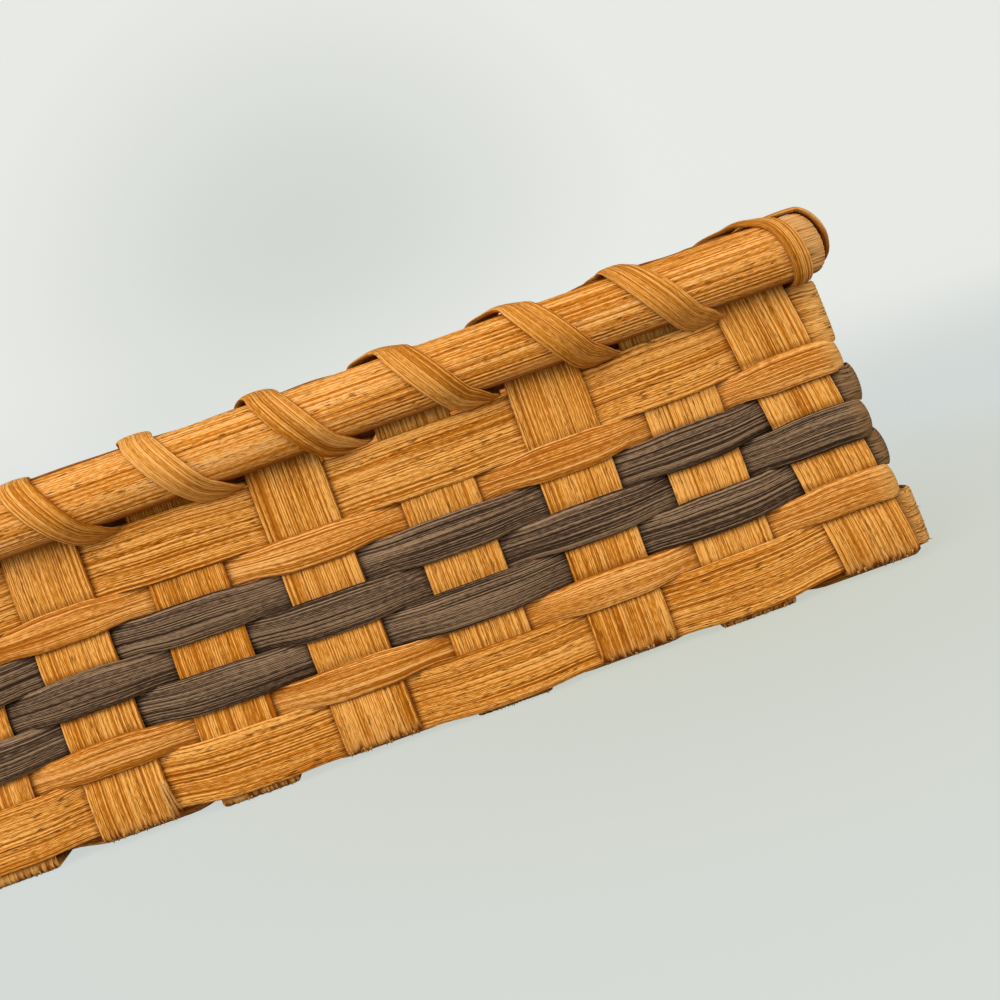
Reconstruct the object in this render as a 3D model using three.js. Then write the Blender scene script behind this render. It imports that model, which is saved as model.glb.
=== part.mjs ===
// A square splint basket, in millimetres, +Z up, front wall towards -Y.
// Flat stakes cross in the base and turn up as walls, rows of weavers go round the walls, and a
// pair of rims round the top is bound on by a lashing. The origin is under the middle of the base.
import * as THREE from 'three';

// Stakes: the flat strips of base and walls.
const STAKES_PER_SIDE = 9;
const STAKE_WIDTH = 15.9;
const STAKE_THICKNESS = 1.1;
const STAKE_GAP = 9.9;
const STAKE_CREASE_RADIUS = 0.6;
// From the edge of the last stake to the corner, which is also how round the corner is.
const CORNER_GAP = 4;
// How far the walls lean in by the top of the rim.
const TOP_INSET = 6;

// Weavers: widths seen on the face of the wall, and thicknesses.
const WIDE_WEAVER_WIDTH = 11.6;
const WIDE_WEAVER_THICKNESS = 1.2;
const NARROW_WEAVER_WIDTH = 7.2;
const NARROW_WEAVER_THICKNESS = 1.5;
const GREY_WEAVER_WIDTH = 8.2;
const GREY_WEAVER_THICKNESS = 2.2;
// Rows sit closer than their widths, because each row is pinched where it crosses its neighbours.
const ROW_NEST = 0.875;
// How far a strip runs straight past a stake's edge before it crosses to the other face.
const CROSSING_MARGIN = 0.8;
// How many stakes on from the row below a row begins and ends.
const ROW_START_STEP = 5;
const BOTTOM_ROW_START = 4;

// Rims, rim row and lashing.
const RIM_HEIGHT = 12.7;
const OUTER_RIM_DEPTH = 5.5;
const INNER_RIM_DEPTH = 4.5;
const RIM_ROW_THICKNESS = 1;
// How much lower than the rims the rim row and the stakes' ends stay.
const RIM_ROW_INSET = 1;
// Measured along the wall, which the strip crosses at a slant.
const LASHING_WIDTH = 8.2;
const LASHING_THICKNESS = 1.2;
// The strip curls narrower where it dives between two stakes.
const LASHING_DIVE_WIDTH = 4.2;
// How far along the wall a wrap travels while it comes down the outer rim, and up the inner one.
const LASHING_SLANT = 13;
const LASHING_INNER_SLANT = 9;
// How high a wrap arches over the rims, and the room left under the rims beside it.
const LASHING_ARCH = 1.4;
const SLOT_SLACK = 1.1;
const LASHING_STRIPS = 2;
// The gap of the front wall, counted from the left corner, where the first lashing strip begins.
const FIRST_LASHED_GAP = 3;

// The gap that pieces lying against each other keep.
const CLEARANCE = 0.3;
// The least radius that anything is bent round inside a corner.
const TIGHTEST_TURN = 0.4;

// Facets of the curved pieces.
const RIM_FACETS = 6;
const CORNER_FACETS = 3;
const OUTER_WRAP_STEPS = 8;
const INNER_WRAP_STEPS = 5;
const ARCH_STEPS = 3;
const CREASE_STEPS = 2;

// Plan of the basket.
const STAKE_PITCH = STAKE_WIDTH + STAKE_GAP;
const LAST_STAKE = ((STAKES_PER_SIDE - 1) / 2) * STAKE_PITCH;
const HALF_STRAIGHT = LAST_STAKE + STAKE_WIDTH / 2;
const HALF_SIDE = HALF_STRAIGHT + CORNER_GAP;
const SIDE_RUN = 2 * HALF_STRAIGHT + (CORNER_GAP * Math.PI) / 2;
const SIDES = 4;
const STAKE_ENDS = SIDES * STAKES_PER_SIDE;

// Heights of the base's two layers at their middles.
const LOWER_LAYER = STAKE_THICKNESS / 2;
const UPPER_LAYER = LOWER_LAYER + STAKE_THICKNESS + CLEARANCE;
const BASE_TOP = UPPER_LAYER + STAKE_THICKNESS / 2;

const HONEY = 0xcf9348;
const PALE_HONEY = 0xd9a259;
const AMBER = 0xc98a3f;
const GREY = 0x564c45;

function wide(name) {
  return { name, width: WIDE_WEAVER_WIDTH, thickness: WIDE_WEAVER_THICKNESS, colour: AMBER };
}

function narrow(name) {
  return { name, width: NARROW_WEAVER_WIDTH, thickness: NARROW_WEAVER_THICKNESS, colour: HONEY };
}

function grey(name) {
  return { name, width: GREY_WEAVER_WIDTH, thickness: GREY_WEAVER_THICKNESS, colour: GREY };
}

// The rows from the bottom up, each with the height of its middle.
function stackedRows() {
  const rows = [
    wide('weaver_bottom_wide'),
    narrow('weaver_lower_narrow'),
    grey('weaver_grey_lower'),
    grey('weaver_grey_middle'),
    grey('weaver_grey_upper'),
    narrow('weaver_upper_narrow'),
    wide('weaver_top_wide'),
  ];
  let height = BASE_TOP + CLEARANCE + rows[0].width / 2;
  rows.forEach((row, index) => {
    if (index > 0) height += (ROW_NEST * (rows[index - 1].width + row.width)) / 2;
    row.height = height;
    row.pinchedWidth = ROW_NEST * row.width - CLEARANCE;
  });
  return rows;
}

const ROWS = stackedRows();
const TOP_ROW = ROWS[ROWS.length - 1];

// Heights and depths of the rim.
const SLOT_HEIGHT = CLEARANCE + LASHING_THICKNESS + CLEARANCE + SLOT_SLACK;
const RIM_BOTTOM = TOP_ROW.height + TOP_ROW.width / 2 + SLOT_HEIGHT;
const RIM_MIDDLE = RIM_BOTTOM + RIM_HEIGHT / 2;
const RIM_TOP = RIM_BOTTOM + RIM_HEIGHT;
const STAKE_TOP = RIM_TOP - RIM_ROW_INSET;
// Depth, from the middle of the stakes, where each rim's flat back lies on the rim row.
const RIM_SEAT = STAKE_THICKNESS / 2 + CLEARANCE + RIM_ROW_THICKNESS + CLEARANCE;
// From a rim's face to the middle of the lashing on it, allowing for the flats of both.
const LASHING_LIFT = CLEARANCE + LASHING_THICKNESS / 2;
const LASHING_FLATS = 1 / Math.cos(Math.PI / (2 * OUTER_WRAP_STEPS));

const RIM_ROW = {
  name: 'rim_row',
  width: STAKE_TOP - RIM_BOTTOM - CLEARANCE,
  pinchedWidth: STAKE_TOP - RIM_BOTTOM - CLEARANCE,
  thickness: RIM_ROW_THICKNESS,
  height: (STAKE_TOP + RIM_BOTTOM + CLEARANCE) / 2,
  colour: AMBER,
};

// The walls lean in: a point moves towards the middle in proportion to its height.
function leaned(x, y, z) {
  const scale = 1 - (TOP_INSET / HALF_SIDE) * (z / RIM_TOP);
  return new THREE.Vector3(x * scale, y * scale, z);
}

// A place on the wall, from the distance round it and the depth out of the middle of the stakes.
function wallPlace(run, depth) {
  const side = Math.round(run / SIDE_RUN);
  const along = run - side * SIDE_RUN;
  const radius = Math.max(CORNER_GAP + depth, TIGHTEST_TURN);
  const straight = HALF_SIDE + depth - radius;
  const past = Math.abs(along) - HALF_STRAIGHT;
  const turn = past > 0 ? (Math.sign(along) * past) / CORNER_GAP : 0;
  const across = past > 0 ? Math.sign(along) * straight : (along * straight) / HALF_STRAIGHT;
  const place = new THREE.Vector2(across + radius * Math.sin(turn), -straight - radius * Math.cos(turn));
  const sideAngle = (side * Math.PI) / 2;
  const tangent = new THREE.Vector2(Math.cos(turn + sideAngle), Math.sin(turn + sideAngle));
  return { place: place.rotateAround(new THREE.Vector2(), sideAngle), tangent };
}

function wallPoint(run, depth, height) {
  const { place } = wallPlace(run, depth);
  return leaned(place.x, place.y, height);
}

// A closed solid through rings of points, either joined into a loop or capped at both ends.
function sweep(rings, isLoop) {
  const sides = rings[0].length;
  const positions = rings.flat().flatMap((point) => point.toArray());
  const triangles = [];
  const spans = isLoop ? rings.length : rings.length - 1;
  for (let i = 0; i < spans; i += 1) {
    const here = i * sides;
    const next = ((i + 1) % rings.length) * sides;
    for (let j = 0; j < sides; j += 1) {
      const k = (j + 1) % sides;
      triangles.push(here + j, here + k, next + k);
      triangles.push(here + j, next + k, next + j);
    }
  }
  if (!isLoop) {
    const last = (rings.length - 1) * sides;
    for (let j = 1; j < sides - 1; j += 1) {
      triangles.push(0, j + 1, j);
      triangles.push(last, last + j, last + j + 1);
    }
  }
  const geometry = new THREE.BufferGeometry();
  geometry.setAttribute('position', new THREE.Float32BufferAttribute(positions, 3));
  geometry.setIndex(triangles);
  return geometry;
}

function piece(name, geometry, colour) {
  const material = new THREE.MeshStandardMaterial({ color: colour, roughness: 0.6, metalness: 0 });
  const mesh = new THREE.Mesh(geometry, material);
  mesh.name = name;
  return mesh;
}

// Stakes

function stakeOffset(number) {
  return (number - 1) * STAKE_PITCH - LAST_STAKE;
}

// In plain weave a front to back stake lies over every second stake that it crosses.
function layerHeight(isFrontBack, number, crossed) {
  const frontBackIsUpper = (number + crossed) % 2 === 0;
  return frontBackIsUpper === isFrontBack ? UPPER_LAYER : LOWER_LAYER;
}

// Middle line of a stake's half at one end, from the wall's top to the crease, with its normals.
function stakeWall(endHeight) {
  const bend = STAKE_CREASE_RADIUS + STAKE_THICKNESS / 2;
  const line = [{ run: -HALF_SIDE, height: STAKE_TOP, normal: [1, 0] }];
  for (let i = 0; i <= CREASE_STEPS; i += 1) {
    const angle = (i / CREASE_STEPS) * (Math.PI / 2);
    line.push({
      run: -HALF_SIDE + bend - bend * Math.cos(angle),
      height: endHeight + bend - bend * Math.sin(angle),
      normal: [Math.cos(angle), Math.sin(angle)],
    });
  }
  return line;
}

function stakeLine(isFrontBack, number) {
  const endHeight = layerHeight(isFrontBack, number, 1);
  const line = stakeWall(endHeight);
  for (let crossed = 1; crossed <= STAKES_PER_SIDE; crossed += 1) {
    const height = layerHeight(isFrontBack, number, crossed);
    const reach = STAKE_WIDTH / 2 + CROSSING_MARGIN;
    line.push({ run: stakeOffset(crossed) - reach, height, normal: [0, 1] });
    line.push({ run: stakeOffset(crossed) + reach, height, normal: [0, 1] });
  }
  const farWall = stakeWall(endHeight).reverse();
  farWall.forEach((at) => line.push({ ...at, run: -at.run, normal: [-at.normal[0], at.normal[1]] }));
  return line;
}

function stake(isFrontBack, number) {
  const middle = stakeOffset(number);
  const point = (across, run, height) =>
    isFrontBack ? leaned(across, run, height) : leaned(run, -across, height);
  const rings = stakeLine(isFrontBack, number).map(({ run, height, normal }) => {
    const corner = (side, face) =>
      point(
        (isFrontBack ? middle : -middle) + (side * STAKE_WIDTH) / 2,
        run + (face * normal[0] * STAKE_THICKNESS) / 2,
        height + (face * normal[1] * STAKE_THICKNESS) / 2,
      );
    return [corner(1, 1), corner(1, -1), corner(-1, -1), corner(-1, 1)];
  });
  const name = `stake_${isFrontBack ? 'front_back' : 'left_right'}_${number}`;
  return piece(name, sweep(rings, false), number % 2 === 0 ? PALE_HONEY : HONEY);
}

// Weavers

// How far round the walls a stake's end stands, counting ends from the left of the front wall.
function stakeRun(end) {
  const side = Math.floor(end / STAKES_PER_SIDE);
  return side * SIDE_RUN + stakeOffset((end % STAKES_PER_SIDE) + 1);
}

function weaverRing(row, run, depth, width) {
  const corner = (face, edge) =>
    wallPoint(run, depth + (face * row.thickness) / 2, row.height + (edge * width) / 2);
  return [corner(-1, 1), corner(1, 1), corner(1, -1), corner(-1, -1)];
}

// A strip woven once round the walls. Its two ends meet behind the stake where it begins.
function weaver(row, rowsDown, firstEnd) {
  const swing = STAKE_THICKNESS / 2 + CLEARANCE + row.thickness / 2;
  const reach = STAKE_WIDTH / 2 + CROSSING_MARGIN;
  const first = stakeRun(firstEnd);
  const rings = [weaverRing(row, first + CLEARANCE / 2, -swing, row.pinchedWidth)];
  for (let end = firstEnd; end < firstEnd + STAKE_ENDS; end += 1) {
    const run = stakeRun(end);
    const isOutside = (end + rowsDown) % 2 === 0;
    const depth = isOutside ? swing : -swing;
    if (end > firstEnd) rings.push(weaverRing(row, run - reach, depth, row.pinchedWidth));
    if (isOutside) rings.push(weaverRing(row, run, depth, row.width));
    rings.push(weaverRing(row, run + reach, depth, row.pinchedWidth));
    const isLastOfSide = (end + 1) % STAKES_PER_SIDE === 0;
    if (isLastOfSide) {
      const corner = (Math.floor(end / STAKES_PER_SIDE) + 0.5) * SIDE_RUN;
      rings.push(weaverRing(row, corner, 0, row.pinchedWidth));
    }
  }
  const last = stakeRun(firstEnd + STAKE_ENDS);
  rings.push(weaverRing(row, last - reach, -swing, row.pinchedWidth));
  rings.push(weaverRing(row, last - CLEARANCE / 2, -swing, row.pinchedWidth));
  return piece(row.name, sweep(rings, false), row.colour);
}

// Rims

// A half-round strip bent round the four walls, flat against the rim row.
function rim(name, facing, depth) {
  const rings = [];
  for (let side = 0; side < SIDES; side += 1) {
    for (let i = 0; i <= CORNER_FACETS; i += 1) {
      const run = side * SIDE_RUN + HALF_STRAIGHT + (i / CORNER_FACETS) * (SIDE_RUN - 2 * HALF_STRAIGHT);
      const ring = [];
      for (let j = 0; j <= RIM_FACETS; j += 1) {
        const angle = (j / RIM_FACETS - 0.5) * Math.PI;
        const reach = facing * (RIM_SEAT + depth * Math.cos(angle));
        ring.push(wallPoint(run, reach, RIM_MIDDLE + (RIM_HEIGHT / 2) * Math.sin(angle)));
      }
      rings.push(facing > 0 ? ring.reverse() : ring);
    }
  }
  return piece(name, sweep(rings, true), HONEY);
}

// Lashing

// Middles of the gaps between stakes, in order round the walls, on past one full turn.
function gapRun(gap) {
  const side = Math.floor(gap / STAKES_PER_SIDE);
  const number = gap % STAKES_PER_SIDE;
  const isCorner = number === STAKES_PER_SIDE - 1;
  return side * SIDE_RUN + (isCorner ? SIDE_RUN / 2 : stakeOffset(number + 1) + STAKE_PITCH / 2);
}

// A station of a wrap where it lies on the half-round face of a rim, at an angle up its face.
function rimStation(facing, depth, angle, run, standOff) {
  const acrossReach = (depth + LASHING_LIFT) * LASHING_FLATS;
  const upReach = (RIM_HEIGHT / 2 + LASHING_LIFT) * LASHING_FLATS;
  const normal = new THREE.Vector2(Math.cos(angle) * upReach, Math.sin(angle) * acrossReach).normalize();
  return {
    run,
    depth: facing * (RIM_SEAT + standOff + acrossReach * Math.cos(angle)),
    height: RIM_MIDDLE + upReach * Math.sin(angle),
    normal: [facing * normal.x, normal.y],
    width: LASHING_WIDTH,
  };
}

// One wrap: down the outer rim, in through the gap, up the inner rim.
function wrapStations(gap) {
  const run = gapRun(gap);
  const isCorner = (gap + 1) % STAKES_PER_SIDE === 0;
  const standOff = isCorner ? LASHING_WIDTH / 2 : 0;
  const stations = [];
  for (let i = 0; i < OUTER_WRAP_STEPS; i += 1) {
    const share = (i + 0.5) / OUTER_WRAP_STEPS;
    const from = run - LASHING_SLANT * (1 - share);
    stations.push(rimStation(1, OUTER_RIM_DEPTH, (0.5 - share) * Math.PI, from, 0));
  }
  const diveHeight = RIM_BOTTOM - LASHING_LIFT * LASHING_FLATS;
  [1, -1].forEach((facing) => {
    const depth = (facing * STAKE_THICKNESS) / 2;
    stations.push({ run, depth, height: diveHeight, normal: [0, -1], width: LASHING_DIVE_WIDTH });
  });
  for (let i = 0; i < INNER_WRAP_STEPS; i += 1) {
    const share = (i + 0.5) / INNER_WRAP_STEPS;
    const to = run + LASHING_INNER_SLANT * share;
    stations.push(rimStation(-1, INNER_RIM_DEPTH, (share - 0.5) * Math.PI, to, standOff));
  }
  return stations;
}

// The strip's way over the top of the rims from one wrap to the next.
function archStations(gap) {
  const from = gapRun(gap) + LASHING_INNER_SLANT;
  const to = gapRun(gap + 1) - LASHING_SLANT;
  const top = RIM_TOP + LASHING_LIFT * LASHING_FLATS;
  const stations = [];
  for (let i = 0; i < ARCH_STEPS; i += 1) {
    const share = (i + 0.5) / ARCH_STEPS;
    stations.push({
      run: from + (to - from) * share,
      depth: RIM_SEAT * (2 * share - 1),
      height: top + LASHING_ARCH * Math.sin(share * Math.PI),
      normal: [0, 1],
      width: LASHING_WIDTH,
    });
  }
  return stations;
}

function lashingRing({ run, depth, height, normal, width }) {
  const corner = (edge, face) => {
    const lift = (face * LASHING_THICKNESS) / 2;
    const { place, tangent } = wallPlace(run, depth + lift * normal[0]);
    place.addScaledVector(tangent, (edge * width) / 2);
    return leaned(place.x, place.y, height + lift * normal[1]);
  };
  return [corner(1, -1), corner(1, 1), corner(-1, 1), corner(-1, -1)];
}

// The least distance between any two places of a strip that are half a wrap or more apart.
function leastGap(rings) {
  const apart = Math.floor((OUTER_WRAP_STEPS + INNER_WRAP_STEPS) / 2);
  let least = Infinity;
  rings.forEach((ring, i) => {
    rings.slice(i + apart).forEach((other) => {
      ring.forEach((a) => other.forEach((b) => {
        least = Math.min(least, a.distanceTo(b));
      }));
    });
  });
  return least;
}

// One unbroken strip wound round the rims, with one wrap in each gap that it passes.
function lashing(number) {
  const wraps = STAKE_ENDS / LASHING_STRIPS;
  const first = FIRST_LASHED_GAP - 1 + (number - 1) * wraps;
  const stations = [];
  for (let gap = first; gap < first + wraps; gap += 1) {
    stations.push(...wrapStations(gap));
    if (gap < first + wraps - 1) stations.push(...archStations(gap));
  }
  const rings = stations.map(lashingRing);
  const name = `lashing_${number}`;
  console.log(`${name}: ${wraps} wraps, least gap to itself ${leastGap(rings).toFixed(2)} mm`);
  return piece(name, sweep(rings, false), PALE_HONEY);
}

const basket = new THREE.Group();
for (let number = 1; number <= STAKES_PER_SIDE; number += 1) {
  basket.add(stake(true, number));
  basket.add(stake(false, number));
}
ROWS.forEach((row, index) => {
  const firstEnd = BOTTOM_ROW_START + ROW_START_STEP * index;
  basket.add(weaver(row, ROWS.length - index, firstEnd));
});
basket.add(weaver(RIM_ROW, 0, BOTTOM_ROW_START + ROW_START_STEP * ROWS.length));
basket.add(rim('outer_rim', 1, OUTER_RIM_DEPTH));
basket.add(rim('inner_rim', -1, INNER_RIM_DEPTH));
for (let number = 1; number <= LASHING_STRIPS; number += 1) basket.add(lashing(number));

export default basket;
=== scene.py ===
"""Looks of a square splint basket: honey-stained flat stakes, a band of grey weavers, a lashed rim.

Lengths inside the classes are in millimetres, as a basket maker would give them, and become metres
when a mesh is made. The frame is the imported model's: +Z up, front wall towards -Y.
"""

import logging
import math
from dataclasses import dataclass, field
from enum import Enum
from typing import ClassVar

import bpy
import numpy as np
from mathutils import Matrix, Vector


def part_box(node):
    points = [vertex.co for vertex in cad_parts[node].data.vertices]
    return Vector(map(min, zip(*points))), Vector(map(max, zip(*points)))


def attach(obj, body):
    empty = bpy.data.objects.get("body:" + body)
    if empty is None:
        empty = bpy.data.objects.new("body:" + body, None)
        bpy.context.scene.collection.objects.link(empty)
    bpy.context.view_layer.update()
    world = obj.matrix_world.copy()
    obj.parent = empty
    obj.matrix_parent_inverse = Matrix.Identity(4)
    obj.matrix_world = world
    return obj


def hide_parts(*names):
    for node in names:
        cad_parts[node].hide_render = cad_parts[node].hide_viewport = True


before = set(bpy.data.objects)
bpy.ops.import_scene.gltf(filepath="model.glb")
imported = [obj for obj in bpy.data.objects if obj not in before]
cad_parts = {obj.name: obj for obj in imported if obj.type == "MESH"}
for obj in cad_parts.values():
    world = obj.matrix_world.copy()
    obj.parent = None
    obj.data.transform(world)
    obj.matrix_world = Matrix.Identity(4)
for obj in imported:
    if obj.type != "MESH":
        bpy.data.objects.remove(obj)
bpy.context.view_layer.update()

LOG = logging.getLogger("basket")
MM = 0.001
SEED = 5446
BODY = "root"
FLOOR_ROOM = 0.08
BLACK, WHITE = (0.0, 0.0, 0.0, 1.0), (1.0, 1.0, 1.0, 1.0)


def node_box(node: str) -> tuple[np.ndarray, np.ndarray]:
    """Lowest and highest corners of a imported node, in millimetres."""
    low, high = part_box(node)
    return np.array(low) / MM, np.array(high) / MM


def linear(red: int, green: int, blue: int) -> tuple[float, float, float, float]:
    """Turn a colour as seen on a screen, 0 to 255, into the renderer's own numbers."""
    shares = np.array([red, green, blue]) / 255.0
    values = np.where(shares <= 0.04045, shares / 12.92, ((shares + 0.055) / 1.055) ** 2.4)
    return (*(float(v) for v in values), 1.0)


def eased(share: np.ndarray) -> np.ndarray:
    """Ease a share from 0 to 1 in and out."""
    kept = np.clip(share, 0.0, 1.0)
    return kept * kept * (3.0 - 2.0 * kept)


def faded(away: np.ndarray, reach: float) -> np.ndarray:
    """Fade from 1 at no distance to about a third at the reach, and on to 0."""
    return np.exp(-((away / reach) ** 2))


def smoothed(rows: np.ndarray, rounds: int) -> np.ndarray:
    """Smooth rows along their order, with the first and the last kept."""
    for _ in range(rounds):
        rows[1:-1] = (rows[:-2] + 2 * rows[1:-1] + rows[2:]) / 4
    return rows


def eased_steps(at: np.ndarray, knots: np.ndarray, values: np.ndarray) -> np.ndarray:
    """Pass smoothly through values at knots.

    Args:
        at: Places to work out.
        knots: Rising places of the values.
        values: Values at the knots.

    Returns:
        One value for each place, level at every knot.
    """
    knots, values = np.asarray(knots, float), np.asarray(values, float)
    index = np.clip(np.searchsorted(knots, at, side="right") - 1, 0, len(knots) - 2)
    share = (at - knots[index]) / (knots[index + 1] - knots[index])
    return values[index] + (values[index + 1] - values[index]) * eased(share)


class Wander:
    """Smooth seeded wandering along a length or over a face, between about -1 and 1."""

    def __init__(self, seed: int, cells: int = 512) -> None:
        """Draw the values that the wandering passes through.

        Args:
            seed: Number that fixes the draws.
            cells: How many values are drawn before they repeat.
        """
        self.cells = cells
        draws = np.random.default_rng(seed)
        self.line = draws.uniform(-1.0, 1.0, cells)
        self.sheet = draws.uniform(-1.0, 1.0, (cells, cells // 4))

    def along(self, at: np.ndarray) -> np.ndarray:
        """Wander along a length that is given in cells."""
        low = np.floor(at).astype(int)
        share = eased(at - low)
        return self.line[low % self.cells] * (1 - share) + self.line[(low + 1) % self.cells] * share

    def over(self, at: np.ndarray, across: np.ndarray) -> np.ndarray:
        """Wander over a face whose places are given in cells.

        Args:
            at: Places along the face.
            across: Places across it, of a shape that fits with the first.

        Returns:
            One value for each place.
        """
        at, across = np.broadcast_arrays(at, across)
        i, j = np.floor(at).astype(int), np.floor(across).astype(int)
        p, q = eased(at - i), eased(across - j)
        rows, columns = self.sheet.shape
        near = self.sheet[i % rows, j % columns] * (1 - q) + self.sheet[i % rows, (j + 1) % columns] * q
        far = self.sheet[(i + 1) % rows, j % columns] * (1 - q)
        far = far + self.sheet[(i + 1) % rows, (j + 1) % columns] * q
        return near * (1 - p) + far * p


@dataclass
class Section:
    """Cross section of a split strip: two faces that meet at rounded edges.

    Attributes:
        face_points: Points across the outer face, edges included.
        back_points: Points across the back, edges left out.
        outer_crown: Share of the thickness that the outer face loses towards its edges.
        back_crown: The same for the back.
        edge_power: How square the edges are.
        crowding: How much the face's points crowd towards its edges, from 0 to 1.
    """

    # Where the back's grooves and grain begin, well away from the outer face's.
    BACK_GROOVES: ClassVar[float] = 40.0
    BACK_GRAIN: ClassVar[float] = 30.0

    face_points: int = 33
    back_points: int = 11
    outer_crown: float = 0.0
    back_crown: float = 0.0
    edge_power: float = 20.0
    crowding: float = 0.86

    def places(self) -> tuple[np.ndarray, np.ndarray]:
        """Give the places round the strip.

        Returns:
            How far across each place is, from -1 to 1, and how far it stands off the middle,
            from -1 on the back to 1 on the outer face.
        """
        turn = math.pi / 2 * self.crowding
        face = np.sin(np.linspace(-1, 1, self.face_points) * turn) / math.sin(turn)
        back = np.linspace(1, -1, self.back_points + 2)[1:-1]
        across = np.concatenate([face, back])
        crown = np.concatenate([np.full(face.shape, self.outer_crown), np.full(back.shape, self.back_crown)])
        side = np.concatenate([np.ones(face.shape), -np.ones(back.shape)])
        rounded = np.sqrt(np.clip(1 - np.abs(across) ** self.edge_power, 0, 1))
        return across, side * rounded * (1 - crown * across**2)

    def groove_places(self, half: float) -> np.ndarray:
        """Distance across the grain at each place by half the width, with the back's grooves moved away."""
        across, off = self.places()
        return across * half + self.BACK_GROOVES * (off < 0)

    def grain_places(self, half: float) -> np.ndarray:
        """Distance across the grain for the finish, with the back turned over and moved away."""
        across, off = self.places()
        return np.where(off < 0, self.BACK_GRAIN - across * half, across * half)


@dataclass
class Strip:
    """A strip ready to become a mesh: rings of points, with its grain's own coordinates.

    Attributes:
        rings: Points, as rings by places by three, in millimetres.
        along: Distance along the grain at each ring.
        across: Distance across the grain at each place.
        marks: Named values at each point, for the finish to read.
        loop: Whether the last ring joins the first.
    """

    rings: np.ndarray
    along: np.ndarray
    across: np.ndarray
    marks: dict[str, np.ndarray]
    loop: bool = False


class MeshMaker:
    """Makes one object from strips that belong to the same piece."""

    GRAIN = "Grain"

    def __init__(self, name: str) -> None:
        """Start a piece.

        Args:
            name: Name of the piece.
        """
        self.name = name
        self.points: list[np.ndarray] = []
        self.corners: list[np.ndarray] = []
        self.sizes: list[np.ndarray] = []
        self.grain: list[np.ndarray] = []
        self.marks: dict[str, list[np.ndarray]] = {}
        self.count = 0

    @staticmethod
    def looks_out(rings: np.ndarray) -> bool:
        """Tell whether faces made in the order of the rings look outwards."""
        here = rings[:-1]
        beside, after = np.roll(here, -1, axis=1) - here, rings[1:] - here
        out = here - here.mean(axis=1, keepdims=True)
        return float(np.sum(np.cross(beside, after) * out)) > 0

    def add(self, strip: Strip) -> None:
        """Add a strip's faces to the piece.

        Args:
            strip: The strip.
        """
        total, sides = strip.rings.shape[:2]
        index = np.arange(total * sides).reshape(total, sides) + self.count
        here = index if strip.loop else index[:-1]
        after = np.roll(index, -1, axis=0) if strip.loop else index[1:]
        beside = np.roll(here, -1, axis=1)
        beyond = np.roll(after, -1, axis=1)
        spans = here.shape[0]
        corners = np.stack([here, beside, beyond, after], axis=-1)
        step = strip.along[-1] - strip.along[-2]
        ends = np.append(strip.along[1:], strip.along[-1] + step)[:spans]
        u = np.stack([strip.along[:spans], strip.along[:spans], ends, ends], axis=-1)
        last = 2 * strip.across[-1] - strip.across[-2]
        v_here, v_next = strip.across, np.append(strip.across[1:], last)
        v = np.stack([v_here, v_next, v_next, v_here], axis=-1)
        grain = np.empty((spans, sides, 4, 2))
        grain[..., 0] = u[:, None, :]
        grain[..., 1] = v[None, :, :]
        way = 1 if self.looks_out(strip.rings) else -1
        self.points.append(strip.rings.reshape(-1, 3))
        self.corners.append(corners[..., ::way].ravel())
        self.sizes.append(np.full(spans * sides, 4))
        self.grain.append(grain[..., ::way, :].reshape(-1, 2))
        if not strip.loop:
            for ring, order in ((0, -way), (-1, way)):
                self.corners.append(index[ring][::order])
                self.sizes.append(np.array([sides]))
                along = np.full(sides, strip.along[ring])
                self.grain.append(np.stack([along, strip.across[::order]], axis=-1))
        for key, values in strip.marks.items():
            self.marks.setdefault(key, []).append(np.broadcast_to(values, (total, sides)).ravel())
        self.count += total * sides

    def piece(self) -> bpy.types.Object:
        """Make the object.

        Returns:
            The object, linked to the scene, smooth, with its grain map and marks.
        """
        points = np.concatenate(self.points) * MM
        corners, sizes = np.concatenate(self.corners), np.concatenate(self.sizes)
        mesh = bpy.data.meshes.new(self.name)
        mesh.vertices.add(len(points))
        mesh.vertices.foreach_set("co", points.astype(np.float32).ravel())
        mesh.loops.add(len(corners))
        mesh.loops.foreach_set("vertex_index", corners.astype(np.int32))
        mesh.polygons.add(len(sizes))
        mesh.polygons.foreach_set("loop_start", np.append(0, np.cumsum(sizes)[:-1]).astype(np.int32))
        mesh.polygons.foreach_set("use_smooth", np.ones(len(sizes), bool))
        mesh.update(calc_edges=True)
        grain = np.concatenate(self.grain) * MM
        mesh.uv_layers.new(name=self.GRAIN).data.foreach_set("uv", grain.astype(np.float32).ravel())
        for key, values in self.marks.items():
            mark = mesh.attributes.new(key, "FLOAT", "POINT")
            mark.data.foreach_set("value", np.concatenate(values).astype(np.float32))
        mesh.validate()
        piece = bpy.data.objects.new(self.name, mesh)
        bpy.context.scene.collection.objects.link(piece)
        return piece


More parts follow.
